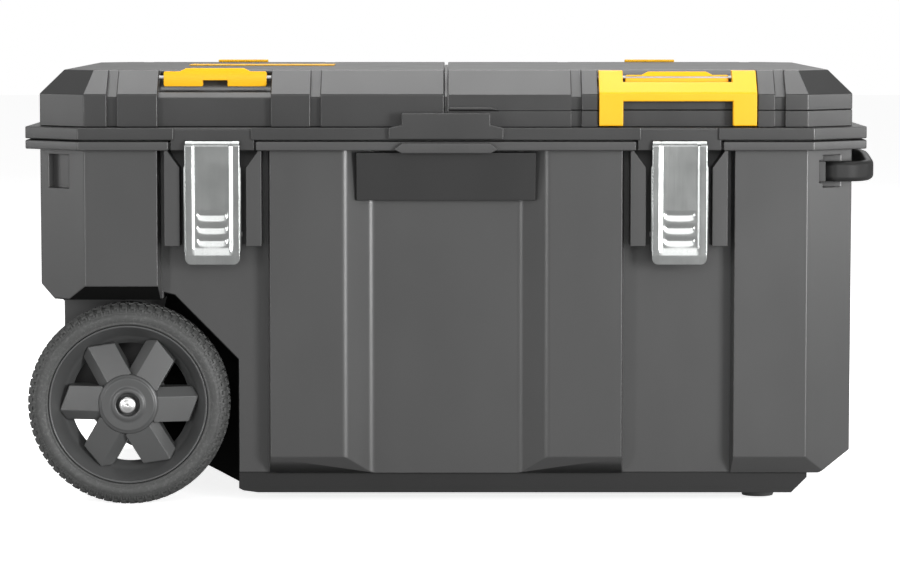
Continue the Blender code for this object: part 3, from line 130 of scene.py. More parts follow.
def shaded(colour, amount):
    return tuple(min(1.0, c * amount) for c in colour)


def shades(colour, amount):
    # the colour a little darker and a little lighter
    return shaded(colour, 1 - amount), shaded(colour, 1 + amount)


def sheen(look):
    # a finish at its smoothest and at its roughest
    return look["roughness"] - look["spread"], look["roughness"] + look["spread"]


# finishes

plasticLooks = {
    "bodyPlastic": {"colour": (0.048, 0.048, 0.048), "roughness": 0.33, "spread": 0.04, "patch": 0.06,
                    "grain": 1500, "grainDepth": 0.00009, "specular": 0.5},
    # the body's plastic with a darker colour: painted shade for the lid's faces, which tilt away from the
    # light
    "lidPaintedShadePlastic": {"colour": (0.026, 0.026, 0.026), "roughness": 0.325, "spread": 0.04, "patch": 0.06,
                   "grain": 1500, "grainDepth": 0.00009, "specular": 0.5},
    "platePlastic": {"colour": (0.019, 0.019, 0.019), "roughness": 0.42, "spread": 0.05, "patch": 0.06,
                     "grain": 1300, "grainDepth": 0.00008, "specular": 0.35},
    "blackPlastic": {"colour": (0.040, 0.040, 0.040), "roughness": 0.40, "spread": 0.06, "patch": 0.08,
                     "grain": 1200, "grainDepth": 0.00009, "specular": 0.5},
    # the pull grip's own dark plastic, which also serves as painted shade on the plinth's front
    "gripAndPaintedShadePlastic": {"colour": (0.014, 0.014, 0.014), "roughness": 0.50, "spread": 0.06, "patch": 0.08,
                    "grain": 1200, "grainDepth": 0.00009, "specular": 0.25},
    # a near-black finish used as painted shade, for the sheet in the wheel well
    "paintedShadePlastic": {"colour": (0.003, 0.003, 0.003), "roughness": 0.75, "spread": 0.05, "patch": 0.08,
                     "grain": 1000, "grainDepth": 0.00009, "specular": 0.08},
    "wheelPlastic": {"colour": (0.062, 0.063, 0.063), "roughness": 0.38, "spread": 0.06, "patch": 0.10,
                     "grain": 1300, "grainDepth": 0.00010, "specular": 0.5},
    "yellowPlastic": {"colour": (0.83, 0.43, 0.008), "roughness": 0.42, "spread": 0.06, "patch": 0.03,
                      "grain": 1500, "grainDepth": 0.00006, "specular": 0.32},
}


mouldLook = {"patchScale": 6.0, "fleckScale": 0.6, "fleckAmount": 0.3, "fleckLight": 1.15,
             "rubStretch": (24, 24, 9), "grainStrength": 0.35}


def makePlastic(name, look):
    material, tree, shader = newMaterial(name)
    place = put(tree, "ShaderNodeTexCoord").outputs["Object"]
    patches = noise(tree, place, mouldLook["patchScale"], 3.0)
    flecks = noise(tree, place, look["grain"] * mouldLook["fleckScale"], 2.0)
    broad = tint(tree, span(tree, patches, 0.3, 0.7, 0, 1), *shades(look["colour"], look["patch"]))
    fine = tint(tree, span(tree, flecks, 0.2, 0.8, 0, mouldLook["fleckAmount"]), broad,
                shaded(look["colour"], mouldLook["fleckLight"]))
    tree.links.new(fine, shader.inputs["Base Color"])
    rubs = noise(tree, stretch(tree, place, mouldLook["rubStretch"]), 1.0, 2.0, 0.4)
    tree.links.new(span(tree, rubs, 0.15, 0.85, *sheen(look)), shader.inputs["Roughness"])
    # spark-eroded mould grain
    grain = noise(tree, place, look["grain"], 1.0, 0.5)
    relief(tree, shader, grain, mouldLook["grainStrength"], look["grainDepth"])
    shader.inputs["Specular IOR Level"].default_value = look["specular"]
    return material


rubberLook = {"colour": (0.052, 0.053, 0.052), "dust": (0.120, 0.121, 0.118), "dry": 0.70, "smooth": 0.52,
              "pit": 420, "pitStrength": 0.35, "pitDepth": 0.0005, "cloud": 25, "cloudAmount": 0.3,
              "cloudDark": 0.7, "specular": 0.5}


def makeRubber(name, look, dusty):
    material, tree, shader = newMaterial(name)
    place = put(tree, "ShaderNodeTexCoord").outputs["Object"]
    speck = noise(tree, place, look["pit"], 3.0, 0.7)
    cloud = noise(tree, place, look["cloud"], 3.0)
    worn = tint(tree, span(tree, speck, 0.5, 0.75, 0, dusty), look["colour"], look["dust"])
    clouded = tint(tree, span(tree, cloud, 0.35, 0.7, 0, look["cloudAmount"]), worn,
                   shaded(look["colour"], look["cloudDark"]))
    tree.links.new(clouded, shader.inputs["Base Color"])
    tree.links.new(span(tree, speck, 0.3, 0.7, look["dry"], look["smooth"]), shader.inputs["Roughness"])
    relief(tree, shader, speck, look["pitStrength"], look["pitDepth"])
    shader.inputs["Specular IOR Level"].default_value = look["specular"]
    return material


metalLooks = {
    "latchSteel": {"colour": (0.35, 0.36, 0.355), "roughness": 0.245, "spread": 0.02, "brush": (900, 900, 14),
                   "brushDepth": 0.00004, "cloud": 0.05},
    "pinSteel": {"colour": (0.36, 0.36, 0.36), "roughness": 0.36, "spread": 0.07, "brush": (20, 900, 900),
                 "brushDepth": 0.00005, "cloud": 0.12},
    "axleSteel": {"colour": (0.56, 0.56, 0.555), "roughness": 0.36, "spread": 0.07, "brush": (700, 30, 700),
                  "brushDepth": 0.00005, "cloud": 0.12},
    "armSteel": {"colour": (0.060, 0.060, 0.060), "roughness": 0.45, "spread": 0.06, "brush": (20, 900, 900),
                 "brushDepth": 0.00005, "cloud": 0.12},
}


brushedLook = {"cloudScale": 45, "lineAmount": 0.35, "lineDark": 0.72, "lineStrength": 0.4}


def makeMetal(name, look):
    material, tree, shader = newMaterial(name)
    place = put(tree, "ShaderNodeTexCoord").outputs["Object"]
    shader.inputs["Metallic"].default_value = 1.0
    cloud = noise(tree, place, brushedLook["cloudScale"], 4.0, 0.6)
    lines = noise(tree, stretch(tree, place, look["brush"]), 1.0, 3.0, 0.6)
    tone = tint(tree, span(tree, cloud, 0.3, 0.7, 0, 1), *shades(look["colour"], look["cloud"]))
    lined = tint(tree, span(tree, lines, 0.4, 0.8, 0, brushedLook["lineAmount"]), tone,
                 shaded(look["colour"], brushedLook["lineDark"]))
    tree.links.new(lined, shader.inputs["Base Color"])
    tree.links.new(span(tree, cloud, 0.3, 0.7, *sheen(look)), shader.inputs["Roughness"])
    relief(tree, shader, lines, brushedLook["lineStrength"], look["brushDepth"])
    return material


# both lines follow the order of the looks above
(bodyPlastic, lidPaintedShadePlastic, platePlastic, blackPlastic, gripAndPaintedShadePlastic, paintedShadePlastic, wheelPlastic,
 yellowPlastic) = (makePlastic(name, look) for name, look in plasticLooks.items())
latchSteel, pinSteel, axleSteel, armSteel = (makeMetal(name, look) for name, look in metalLooks.items())
treadRubber = makeRubber("treadRubber", rubberLook, 0.75)
footRubber = makeRubber("footRubber", rubberLook, 0.2)
print("finishes made")


# helpers for pieces

def bodyOfNode(nodeName):
    return nodes[nodeName]["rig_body"]


def addPiece(name, mesh, material, body, stands=()):
    piece = bpy.data.objects.new(name, mesh)
    scene.collection.objects.link(piece)
    mesh.materials.clear()
    mesh.materials.append(material)
    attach(piece, body)
    if stands:
        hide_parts(*stands)


def meshFrom(bm, name, smooth=True):
    mesh = bpy.data.meshes.new(name)
    bm.to_mesh(mesh)
    bm.free()
    if smooth:
        mesh.polygons.foreach_set("use_smooth", [True] * len(mesh.polygons))
    return mesh


def bridge(bm, rows, closed=True):
    # faces between rows of vertices, each row joined to the next
    for first, second in zip(rows, rows[1:]):
        for k in range(len(first) if closed else len(first) - 1):
            after = (k + 1) % len(first)
            bm.faces.new((first[k], first[after], second[after], second[k]))


def baked(mesh, *steps):
    # runs modifiers on a mesh and returns the plain result
    holder = bpy.data.objects.new("holder", mesh)
    scene.collection.objects.link(holder)
    for kind, values in steps:
        step = holder.modifiers.new(kind.lower(), kind)
        for key, value in values.items():
            setattr(step, key, value)
    graph = bpy.context.evaluated_depsgraph_get()
    made = bpy.data.meshes.new_from_object(holder.evaluated_get(graph))
    bpy.data.objects.remove(holder)
    return made


edgeLook = {"merge": 2e-5, "flat": 0.6, "angle": 28.0, "segments": 2, "outerShare": 0.45, "innerShare": 0.85,
            "opposite": -0.2, "least": 0.2, "tries": 5, "areaShare": 1.002, "areaRoom": 3e-8, "near": 0.002,
            "level": 0.0015}


def rounding(width, limit="ANGLE", angle=edgeLook["angle"]):
    # broken edges, where faces turn by more than the angle or as the edges' weights say
    return ("BEVEL", {"width": width, "segments": edgeLook["segments"], "limit_method": limit,
                      "angle_limit": math.radians(angle), "use_clamp_overlap": False,
                      "miter_outer": "MITER_SHARP"})


evenNormals = ("WEIGHTED_NORMAL", {"mode": "FACE_AREA", "weight": 60, "keep_sharp": True})


def smoothStep(value):
    value = max(0.0, min(1.0, value))
    return value * value * (3 - 2 * value)


def evenStep(value):
    # a straight rise with its two ends eased
    value = max(0.0, min(1.0, value))
    return 0.9 * value + 0.1 * smoothStep(value)


# moulded pieces: the CAD solids with their edges broken

def gapBetween(first, second):
    # least distance between two edges of one face
    found = []
    for edge, other in ((first, second), (second, first)):
        start, end = (v.co for v in other.verts)
        for vert in edge.verts:
            share = intersect_point_line(vert.co, start, end)[1]
            found.append((vert.co - start.lerp(end, max(0.0, min(1.0, share)))).length)
    return min(found)


def roundingWeights(bm, width):
    # outer edges are rounded to the full width, or to what the face beside them has room for
    look = edgeLook
    weights = {}
    for edge in bm.edges:
        if len(edge.link_faces) == 2 and abs(edge.calc_face_angle_signed(0)) > math.radians(look["angle"]):
            weights[edge] = 1.0 if edge.calc_face_angle_signed(0) > 0 else 0.0
    for face in bm.faces:
        sides = []
        for loop in face.loops:
            along = loop.link_loop_next.vert.co - loop.vert.co
            sides.append((loop.edge, face.normal.cross(along).normalized()))
        for edge, inward in sides:
            if weights.get(edge, 0) <= 0:
                continue
            for other, otherInward in sides:
                if other is edge or other not in weights or inward.dot(otherInward) > look["opposite"]:
                    continue
                if set(edge.verts) & set(other.verts):
                    continue
                share = look["outerShare"] if weights[other] > 0 else look["innerShare"]
                weights[edge] = min(weights[edge], share * gapBetween(edge, other) / width)
    return {edge: weight if weight > look["least"] else 0.0 for edge, weight in weights.items()}


def crossedFaces(mesh):
    # faces whose outline crosses itself: their triangles cover more than the outline holds
    bm = bmesh.new()
    bm.from_mesh(mesh)
    covered = {}
    for triangle in bm.calc_loop_triangles():
        a, b, c = (loop.vert.co for loop in triangle)
        face = triangle[0].face
        covered[face] = covered.get(face, 0) + (b - a).cross(c - a).length / 2
    found = []
    for face, area in covered.items():
        if area > face.calc_area() * edgeLook["areaShare"] + edgeLook["areaRoom"]:
            centre = face.calc_center_bounds()
            found.append((centre, face.normal.copy(), max((v.co - centre).length for v in face.verts)))
    bm.free()
    return found


creaseLook = {"inner": -13.0, "shallow": 13.0, "outer": 50.0, "broad": 0.0018, "strip": 0.0022, "ahead": 0.3,
              "passes": 4}


def heading(edge, vert, along):
    # how much an edge that leaves the vertex runs in a direction
    return (edge.other_vert(vert).co - vert.co).normalized().dot(along)


def creased(mesh):
    # inner corners and shallow bends between broad faces stay crisp, rounded edges shade smoothly
    look = creaseLook
    bm = bmesh.new()
    bm.from_mesh(mesh)
    for edge in bm.edges:
        if len(edge.link_faces) != 2:
            continue
        turn = math.degrees(edge.calc_face_angle_signed(0))
        breadth = min(f.calc_area() / max(e.calc_length() for e in f.edges) for f in edge.link_faces)
        bend = look["shallow"] < turn < edgeLook["angle"] and breadth > look["broad"]
        edge.smooth = not (turn < look["inner"] or turn > look["outer"] or bend)
    # a crease that meets a rounded edge runs on across its strips
    for attempt in range(look["passes"]):
        for vert in bm.verts:
            sharp = [e for e in vert.link_edges if not e.smooth]
            if len(sharp) != 1:
                continue
            along = (vert.co - sharp[0].other_vert(vert).co).normalized()
            after = max((e for e in vert.link_edges if e.smooth), default=None,
                        key=lambda e: heading(e, vert, along))
            if after and after.calc_length() < look["strip"] and heading(after, vert, along) > look["ahead"]:
                after.smooth = False
    return meshFrom(bm, mesh.name)


def mergedCopy(nodeName):
    bm = bmesh.new()
    bm.from_mesh(nodes[nodeName].data)
    bmesh.ops.remove_doubles(bm, verts=bm.verts, dist=edgeLook["merge"])
    bmesh.ops.dissolve_limit(bm, angle_limit=math.radians(edgeLook["flat"]), verts=bm.verts, edges=bm.edges,
                             delimit=set())
    bmesh.ops.recalc_face_normals(bm, faces=bm.faces)
    return bm


def roundedNode(nodeName, pieceName, width, material):
    bm = mergedCopy(nodeName)
    layer = bm.edges.layers.float.new("bevel_weight_edge")
    weights = roundingWeights(bm, width)
    # a corner too tight for its rounding gets less of it
    for attempt in range(edgeLook["tries"]):
        for edge, weight in weights.items():
            edge[layer] = weight
        trial = bpy.data.meshes.new(pieceName)
        bm.to_mesh(trial)
        rounded = baked(trial, rounding(width, "WEIGHT"))
        tight = crossedFaces(rounded)
        if not tight:
            break
        for centre, normal, reach in tight:
            for edge in weights:
                middle = (edge.verts[0].co + edge.verts[1].co) / 2
                near = (middle - centre).length < reach + edgeLook["near"]
                if near and all(abs((v.co - centre).dot(normal)) < edgeLook["level"] for v in edge.verts):
                    weights[edge] *= 0.5
    bm.free()
    if tight:
        print("  tight corners left on", nodeName, len(tight))
    mesh = baked(creased(rounded), evenNormals)
    mesh.name = pieceName
    addPiece(pieceName, mesh, material, bodyOfNode(nodeName), (nodeName,))


roundedPieces = {
    "tub": ("chestTub", 0.0012, bodyPlastic),
    "lid_panel": ("lidPanel", 0.0009, lidPaintedShadePlastic),
    "left_cover": ("leftCover", 0.0010, lidPaintedShadePlastic),
    "organizer_cover": ("organizerCover", 0.0010, lidPaintedShadePlastic),
    "organizer_tray": ("organizerTray", 0.0007, lidPaintedShadePlastic),
    "front_plate": ("bareFrontPlate", 0.0008, platePlastic),
    "carry_handle": ("carryHandle", 0.0015, yellowPlastic),
    "left_hinge_clip": ("leftHingeClip", 0.0005, yellowPlastic),
    "organizer_hinge_clip": ("rightHingeClip", 0.0005, yellowPlastic),
    "draw_bracket_left": ("leftLatchGuards", 0.0006, blackPlastic),
    "draw_bracket_right": ("rightLatchGuards", 0.0006, blackPlastic),
    "handle_guide_front": ("frontHandleGuide", 0.0008, blackPlastic),
    "handle_guide_rear": ("rearHandleGuide", 0.0008, blackPlastic),
}
for nodeName, (pieceName, width, material) in roundedPieces.items():
    roundedNode(nodeName, pieceName, width, material)
print("moulded pieces rounded")


rockerLook = {"half": 0.0515, "foot": 0.4203, "wing": 0.4354, "crown": 0.4387, "notchTop": 0.4265,
              "notch": 0.0124, "crownHalf": 0.0288, "shoulder": 0.0355, "front": -0.2160, "back": -0.2045,
              "bulge": 0.0022, "bowMiddle": 0.75, "chamfer": 0.0010, "sheer": 0.0001, "topLean": 0.0012,
              "footLean": 0.0008, "steps": 8, "round": 0.0005, "roundAngle": 40}


def makeRocker(nodeName, pieceName, drop):
    # pressed latch: stepped top, notch below, and a gently bowed front
    look = rockerLook
    low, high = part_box(nodeName)
    middle = (low.x + high.x) / 2
    foot, wing, crown, chamfer = (look[key] for key in ("foot", "wing", "crown", "chamfer"))
    right = [  # distance from the middle, lowest and highest point
        (look["notch"], look["notchTop"], crown), (look["notch"] + look["sheer"], foot, crown),
        (look["crownHalf"], foot, crown), (look["shoulder"], foot, wing),
        (look["half"] - chamfer, foot, wing), (look["half"], foot + chamfer, wing - chamfer),
    ]
    columns = [(-x, bottom, top) for x, bottom, top in reversed(right)] + right
    bm = bmesh.new()
    rings = []
    for x, bottom, top in columns:
        ring = []
        for step in range(look["steps"] + 1):
            z = bottom + (top - bottom) * step / look["steps"]
            bow = (2 * (z - foot) / (crown - foot) - look["bowMiddle"]) ** 2
            ring.append((look["front"] + look["bulge"] * bow, z))
        ring += [(look["back"], top - look["topLean"]), (look["back"], bottom + look["footLean"])]
        rings.append([bm.verts.new((middle + x, y, z - drop)) for y, z in ring])
    bridge(bm, rings)
    bm.faces.new(rings[0])
    bm.faces.new(rings[-1][::-1])
    bmesh.ops.recalc_face_normals(bm, faces=bm.faces)
    mesh = baked(meshFrom(bm, pieceName), rounding(look["round"], angle=look["roundAngle"]))
    mesh = baked(creased(mesh), evenNormals)
    addPiece(pieceName, mesh, yellowPlastic, bodyOfNode(nodeName), (nodeName,))


makeRocker("left_latch", "leftRocker", 0.0)
makeRocker("organizer_latch", "rightRocker", 0.0035)
print("rocker latches made")


shadeSheetLook = {"clear": 0.0004, "thick": 0.0003, "middle": -0.004, "wellLeft": -0.405, "wellRight": -0.205,
              "wellLow": 0.012, "wellHigh": 0.222, "roofFacing": -0.6, "wallLeft": -0.300, "wallFrom": 0.160,
              "wallTo": 0.180, "wallFacing": 0.9, "plinthTop": 0.032, "plinthFrom": 0.190,
              "plinthFacing": 0.7}


def makeShadeSheet(pieceName, material, takesPaintedShade):
    # a thin dark sheet just off the chest's own faces, laid on as painted shade where the chest lies in
    # shadow
    look = shadeSheetLook
    bm = mergedCopy("tub")
    kept = []
    for face in bm.faces:
        centre = face.calc_center_median()
        away = 1 if centre.y > look["middle"] else -1
        if takesPaintedShade(centre, face.normal, (centre.y - look["middle"]) * away, face.normal.y * away):
            kept.append([vert.co + face.normal * look["clear"] for vert in face.verts])
    bm.clear()
    for corners in kept:
        bm.faces.new([bm.verts.new(corner) for corner in corners])
    mesh = baked(meshFrom(bm, pieceName, False), ("SOLIDIFY", {"thickness": look["thick"], "offset": -1.0}))
    addPiece(pieceName, mesh, material, bodyOfNode("tub"))
    print("  faces given painted shade", pieceName, len(kept))


def inWheelWell(centre, normal, outwards, facing):
    look = shadeSheetLook
    inside = look["wellLeft"] < centre.x < look["wellRight"] and look["wellLow"] < centre.z < look["wellHigh"]
    roof = min(normal.x, normal.z) < look["roofFacing"]
    wall = facing > look["wallFacing"] and centre.x > look["wallLeft"] and outwards < look["wallTo"]
    return inside and outwards > look["wallFrom"] and (roof or wall)


def onPlinth(centre, normal, outwards, facing):
    look = shadeSheetLook
    return centre.z < look["plinthTop"] and facing > look["plinthFacing"] and outwards > look["plinthFrom"]


# a near-black sheet as painted shade over the wheel well's roof and back wall
makeShadeSheet("wellShadeSheet", paintedShadePlastic, inWheelWell)
# a dark sheet as painted shade over the plinth's front, under the chamfer
makeShadeSheet("plinthShadeSheet", gripAndPaintedShadePlastic, onPlinth)


slotRibLook = {"clear": 0.0004, "inset": 0.0030, "bevel": 0.0004, "foot": 0.3798, "shoulder": 0.026,
               "frontSlope": 0.032, "rearSlope": 0.024}


def makeSlotRib():
    # thin rib of the lid between the two top units, which closes the slot to light from behind
    look = slotRibLook
    leftUnit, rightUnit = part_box("left_cover"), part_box("organizer_cover")
    low, high = leftUnit[1].x + look["clear"], rightUnit[0].x - look["clear"]
    front, back = leftUnit[0].y + look["inset"], leftUnit[1].y - look["inset"]
    top, fold, foot = leftUnit[1].z - look["inset"], leftUnit[1].z - look["shoulder"], look["foot"]
    outline = [(front, foot), (back, foot), (back, fold), (back - look["rearSlope"], top),
               (front + look["frontSlope"], top), (front, fold)]
    bm = bmesh.new()
    ends = [[bm.verts.new((x, y, z)) for y, z in outline] for x in (low, high)]
    bridge(bm, ends)
    bm.faces.new(ends[0])
    bm.faces.new(ends[1][::-1])
    bmesh.ops.recalc_face_normals(bm, faces=bm.faces)
    mesh = baked(meshFrom(bm, "slotRib"), rounding(look["bevel"]), evenNormals)
    addPiece("slotRib", mesh, blackPlastic, "lid")


makeSlotRib()

nodeFinishes = {
    "axle": axleSteel, "axle_bushing_front": blackPlastic, "axle_bushing_rear": blackPlastic,
    "foot_front": footRubber, "foot_rear": footRubber, "rim_seal": footRubber, "cover_inlay": yellowPlastic,
    "lid_hinge_pin_left": pinSteel, "lid_hinge_pin_right": pinSteel, "draw_pivot_pin_left": pinSteel,
    "draw_pivot_pin_right": pinSteel, "draw_link_left": pinSteel, "draw_link_right": pinSteel,
    "draw_pin_left": pinSteel, "draw_pin_right": pinSteel, "left_cover_pin": pinSteel,
    "left_latch_pin": pinSteel, "organizer_cover_pin": pinSteel, "organizer_latch_pin": pinSteel,
    "left_divider": blackPlastic, "organizer_divider_1": blackPlastic, "organizer_divider_2": blackPlastic,
    "handle_arm_front": armSteel, "handle_arm_rear": armSteel,
}
for nodeName, material in nodeFinishes.items():
    mesh = nodes[nodeName].data
    for index in range(max(1, len(mesh.materials))):
        if index < len(mesh.materials):
            mesh.materials[index] = material
        else:
            mesh.materials.append(material)
print("kept nodes finished")


# repeating rule in Geometry Nodes: a block copied round a pivot

def repeatTree(name):
    tree = bpy.data.node_groups.new(name, "GeometryNodeTree")
    face = tree.interface
    face.new_socket("Block", in_out="INPUT", socket_type="NodeSocketGeometry")
    sockets = {}
    for label, kind, value in (("Count", "NodeSocketInt", 6), ("Pivot", "NodeSocketVector", (0, 0, 0)),
                               ("Turn", "NodeSocketFloat", 0.0), ("Finish", "NodeSocketMaterial", None)):
        socket = face.new_socket(label, in_out="INPUT", socket_type=kind)
        if value is not None:
            socket.default_value = value
        sockets[label] = socket.identifier
    face.new_socket("Geometry", in_out="OUTPUT", socket_type="NodeSocketGeometry")
    link = tree.links.new
    given = put(tree, "NodeGroupInput")
    out = put(tree, "NodeGroupOutput")
    back = put(tree, "ShaderNodeVectorMath", operation="SCALE", in_Scale=-1.0)
    link(given.outputs["Pivot"], back.inputs[0])
    centred = put(tree, "GeometryNodeTransform")
    link(given.outputs["Block"], centred.inputs["Geometry"])
    link(back.outputs["Vector"], centred.inputs["Translation"])
    places = put(tree, "GeometryNodeMeshLine", in_Offset=(0, 0, 0))
    link(given.outputs["Count"], places.inputs["Count"])
    link(given.outputs["Pivot"], places.inputs["Start Location"])
    number = put(tree, "GeometryNodeInputIndex")
    turn = put(tree, "ShaderNodeMath", operation="MULTIPLY")
    link(number.outputs[0], turn.inputs[0])
    link(given.outputs["Turn"], turn.inputs[1])
    about = put(tree, "ShaderNodeCombineXYZ")
    link(turn.outputs[0], about.inputs["Y"])
    copies = put(tree, "GeometryNodeInstanceOnPoints")
    link(places.outputs["Mesh"], copies.inputs["Points"])
    link(centred.outputs["Geometry"], copies.inputs["Instance"])
    link(about.outputs["Vector"], copies.inputs["Rotation"])
    real = put(tree, "GeometryNodeRealizeInstances")
    link(copies.outputs["Instances"], real.inputs["Geometry"])
    painted = put(tree, "GeometryNodeSetMaterial")
    link(real.outputs["Geometry"], painted.inputs["Geometry"])
    link(given.outputs["Finish"], painted.inputs["Material"])
    link(painted.outputs["Geometry"], out.inputs["Geometry"])
    return tree, sockets


repeater, repeaterSockets = repeatTree("copiesAround")


def repeated(mesh, **values):
    # the plain mesh of the block's copies
    holder = bpy.data.objects.new("holder", mesh)
    scene.collection.objects.link(holder)
    step = holder.modifiers.new("copies", "NODES")
    step.node_group = repeater
    for label, value in values.items():
        step[repeaterSockets[label]] = value
    graph = bpy.context.evaluated_depsgraph_get()
    made = bpy.data.meshes.new_from_object(holder.evaluated_get(graph))
    holder.modifiers.remove(step)
    bpy.data.objects.remove(holder)
    made.polygons.foreach_set("use_smooth", [True] * len(made.polygons))
    return made


def turnedPoint(centre, radius, y, angle):
    return centre.x + radius * math.cos(angle), y, centre.z + radius * math.sin(angle)


def turnedShape(bm, profile, centre, steps):
    # profile of (radius, y) points, closed, turned about the axle
    rings = []
    for radius, y in profile:
        rings.append([bm.verts.new(turnedPoint(centre, radius, y, 2 * math.pi * step / steps))
                      for step in range(steps)])
    bridge(bm, rings + rings[:1])
    bmesh.ops.recalc_face_normals(bm, faces=bm.faces)


def addHull(bm, points):
    verts = [bm.verts.new(point) for point in points]
    bmesh.ops.convex_hull(bm, input=verts)


# wheels

tyreLook = {"steps": 144, "blocks": 72, "blockProud": 0.0018, "sidewall": 0.0922, "bead": 0.0822,
            "rimClear": 0.0003}
wheelLook = {"hub": 0.0305, "bore": 0.0112, "ring": 0.0172, "backFlange": 0.0385, "axle": 0.0068,
             "lip": 0.0785, "barrel": 0.0735, "dish": 0.0660, "dishDrop": 0.0215, "web": 0.0600,
             "rimSteps": 120, "hubSteps": 96}
spokeLook = {"count": 6, "root": 0.0255, "face": 0.0050, "back": 0.0310, "low": -0.0182, "high": 0.0072,
             "chamferOut": 0.0166, "chamferDrop": 0.0065, "endLow": 0.0600, "endHigh": 0.0700,
             "endChamfer": 0.0635, "lean": 0.0090, "round": 0.0009, "roundAngle": 18}
capLook = {"radius": 0.0083, "edge": 0.0046, "steps": 48}


def wheelFrame(side, name):
    # the wheel's centre, its width, and the Y of a depth behind the tyre's outer face
    low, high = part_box("tyre_" + name)
    face = low.y if side < 0 else high.y
    return jointAt[name + "_wheel_spin"], high.y - low.y, lambda depth: face - side * depth


def radiusOf(nodeName):
    low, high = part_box(nodeName)
    return (high.z - low.z) / 2


def makeTyre(side, name):
    look = tyreLook
    body = name + "_wheel"
    centre, width, at = wheelFrame(side, name)
    outer = radiusOf("tyre_" + name)
    rim = radiusOf("wheel_" + name) + look["rimClear"]
    wall, bead = look["sidewall"], look["bead"]
    half = [
        (rim, 0.0040), (rim, 0.0022), (rim + 0.0010, 0.0012), (bead, 0.0009), (bead + 0.0006, 0.0016),
        (bead + 0.0014, 0.0006), (wall - 0.0040, 0.0001), (wall - 0.0012, 0.0002), (wall - 0.0004, 0.0012),
        (wall + 0.0004, 0.0013), (wall + 0.0026, 0.0020), (outer - 0.0044, 0.0038), (outer - 0.0022, 0.0072),
        (outer - 0.0015, 0.0120),
    ]
    profile = half + [(r, width - d) for r, d in reversed(half)]
    bm = bmesh.new()
    turnedShape(bm, [(r, at(d)) for r, d in profile], centre, look["steps"])
    addPiece("tyreCarcass_" + name, meshFrom(bm, "tyreCarcass_" + name), treadRubber, body, ("tyre_" + name,))

    # one pitch of the tread: shoulder blocks on both sides, staggered centre blocks, small lugs on the side
    pitch = 2 * math.pi / look["blocks"]
    bm = bmesh.new()

    def block(fromTurn, toTurn, outline):
        addHull(bm, [turnedPoint(centre, radius, at(depth), turn * pitch)
                     for turn in (fromTurn, toTurn) for radius, depth in outline])

    shoulder = [(wall + 0.0042, 0.0042), (wall + 0.0042, 0.0042 - look["blockProud"] * 1.3),
                (outer - 0.0030, 0.0036), (outer - 0.0002, 0.0085), (outer - 0.0035, 0.0105)]
    block(0.05, 0.62, shoulder)
    block(0.55, 1.12, [(r, width - d) for r, d in shoulder])
    base = outer - 0.0035
    block(0.36, 0.92, [(base, 0.0115), (outer, 0.0120), (outer, 0.0205), (base, 0.0210)])
    block(0.02, 0.58, [(base, 0.0250), (outer, 0.0255), (outer, 0.0340), (base, 0.0345)])
    for lugFrom, lugTo, reach in ((0.02, 0.20, 0.0046), (0.30, 0.46, 0.0032), (0.66, 0.86, 0.0040)):
        block(lugFrom, lugTo, [(wall + 0.0008, 0.0024), (wall + 0.0008, 0.0006), (wall + reach, 0.0018),
                               (wall + reach, 0.0038)])
    mesh = repeated(meshFrom(bm, "treadPitch"), Count=look["blocks"], Pivot=tuple(centre), Turn=pitch,
                    Finish=treadRubber)
    mesh.polygons.foreach_set("use_smooth", [False] * len(mesh.polygons))
    addPiece("tyreTread_" + name, mesh, treadRubber, body)


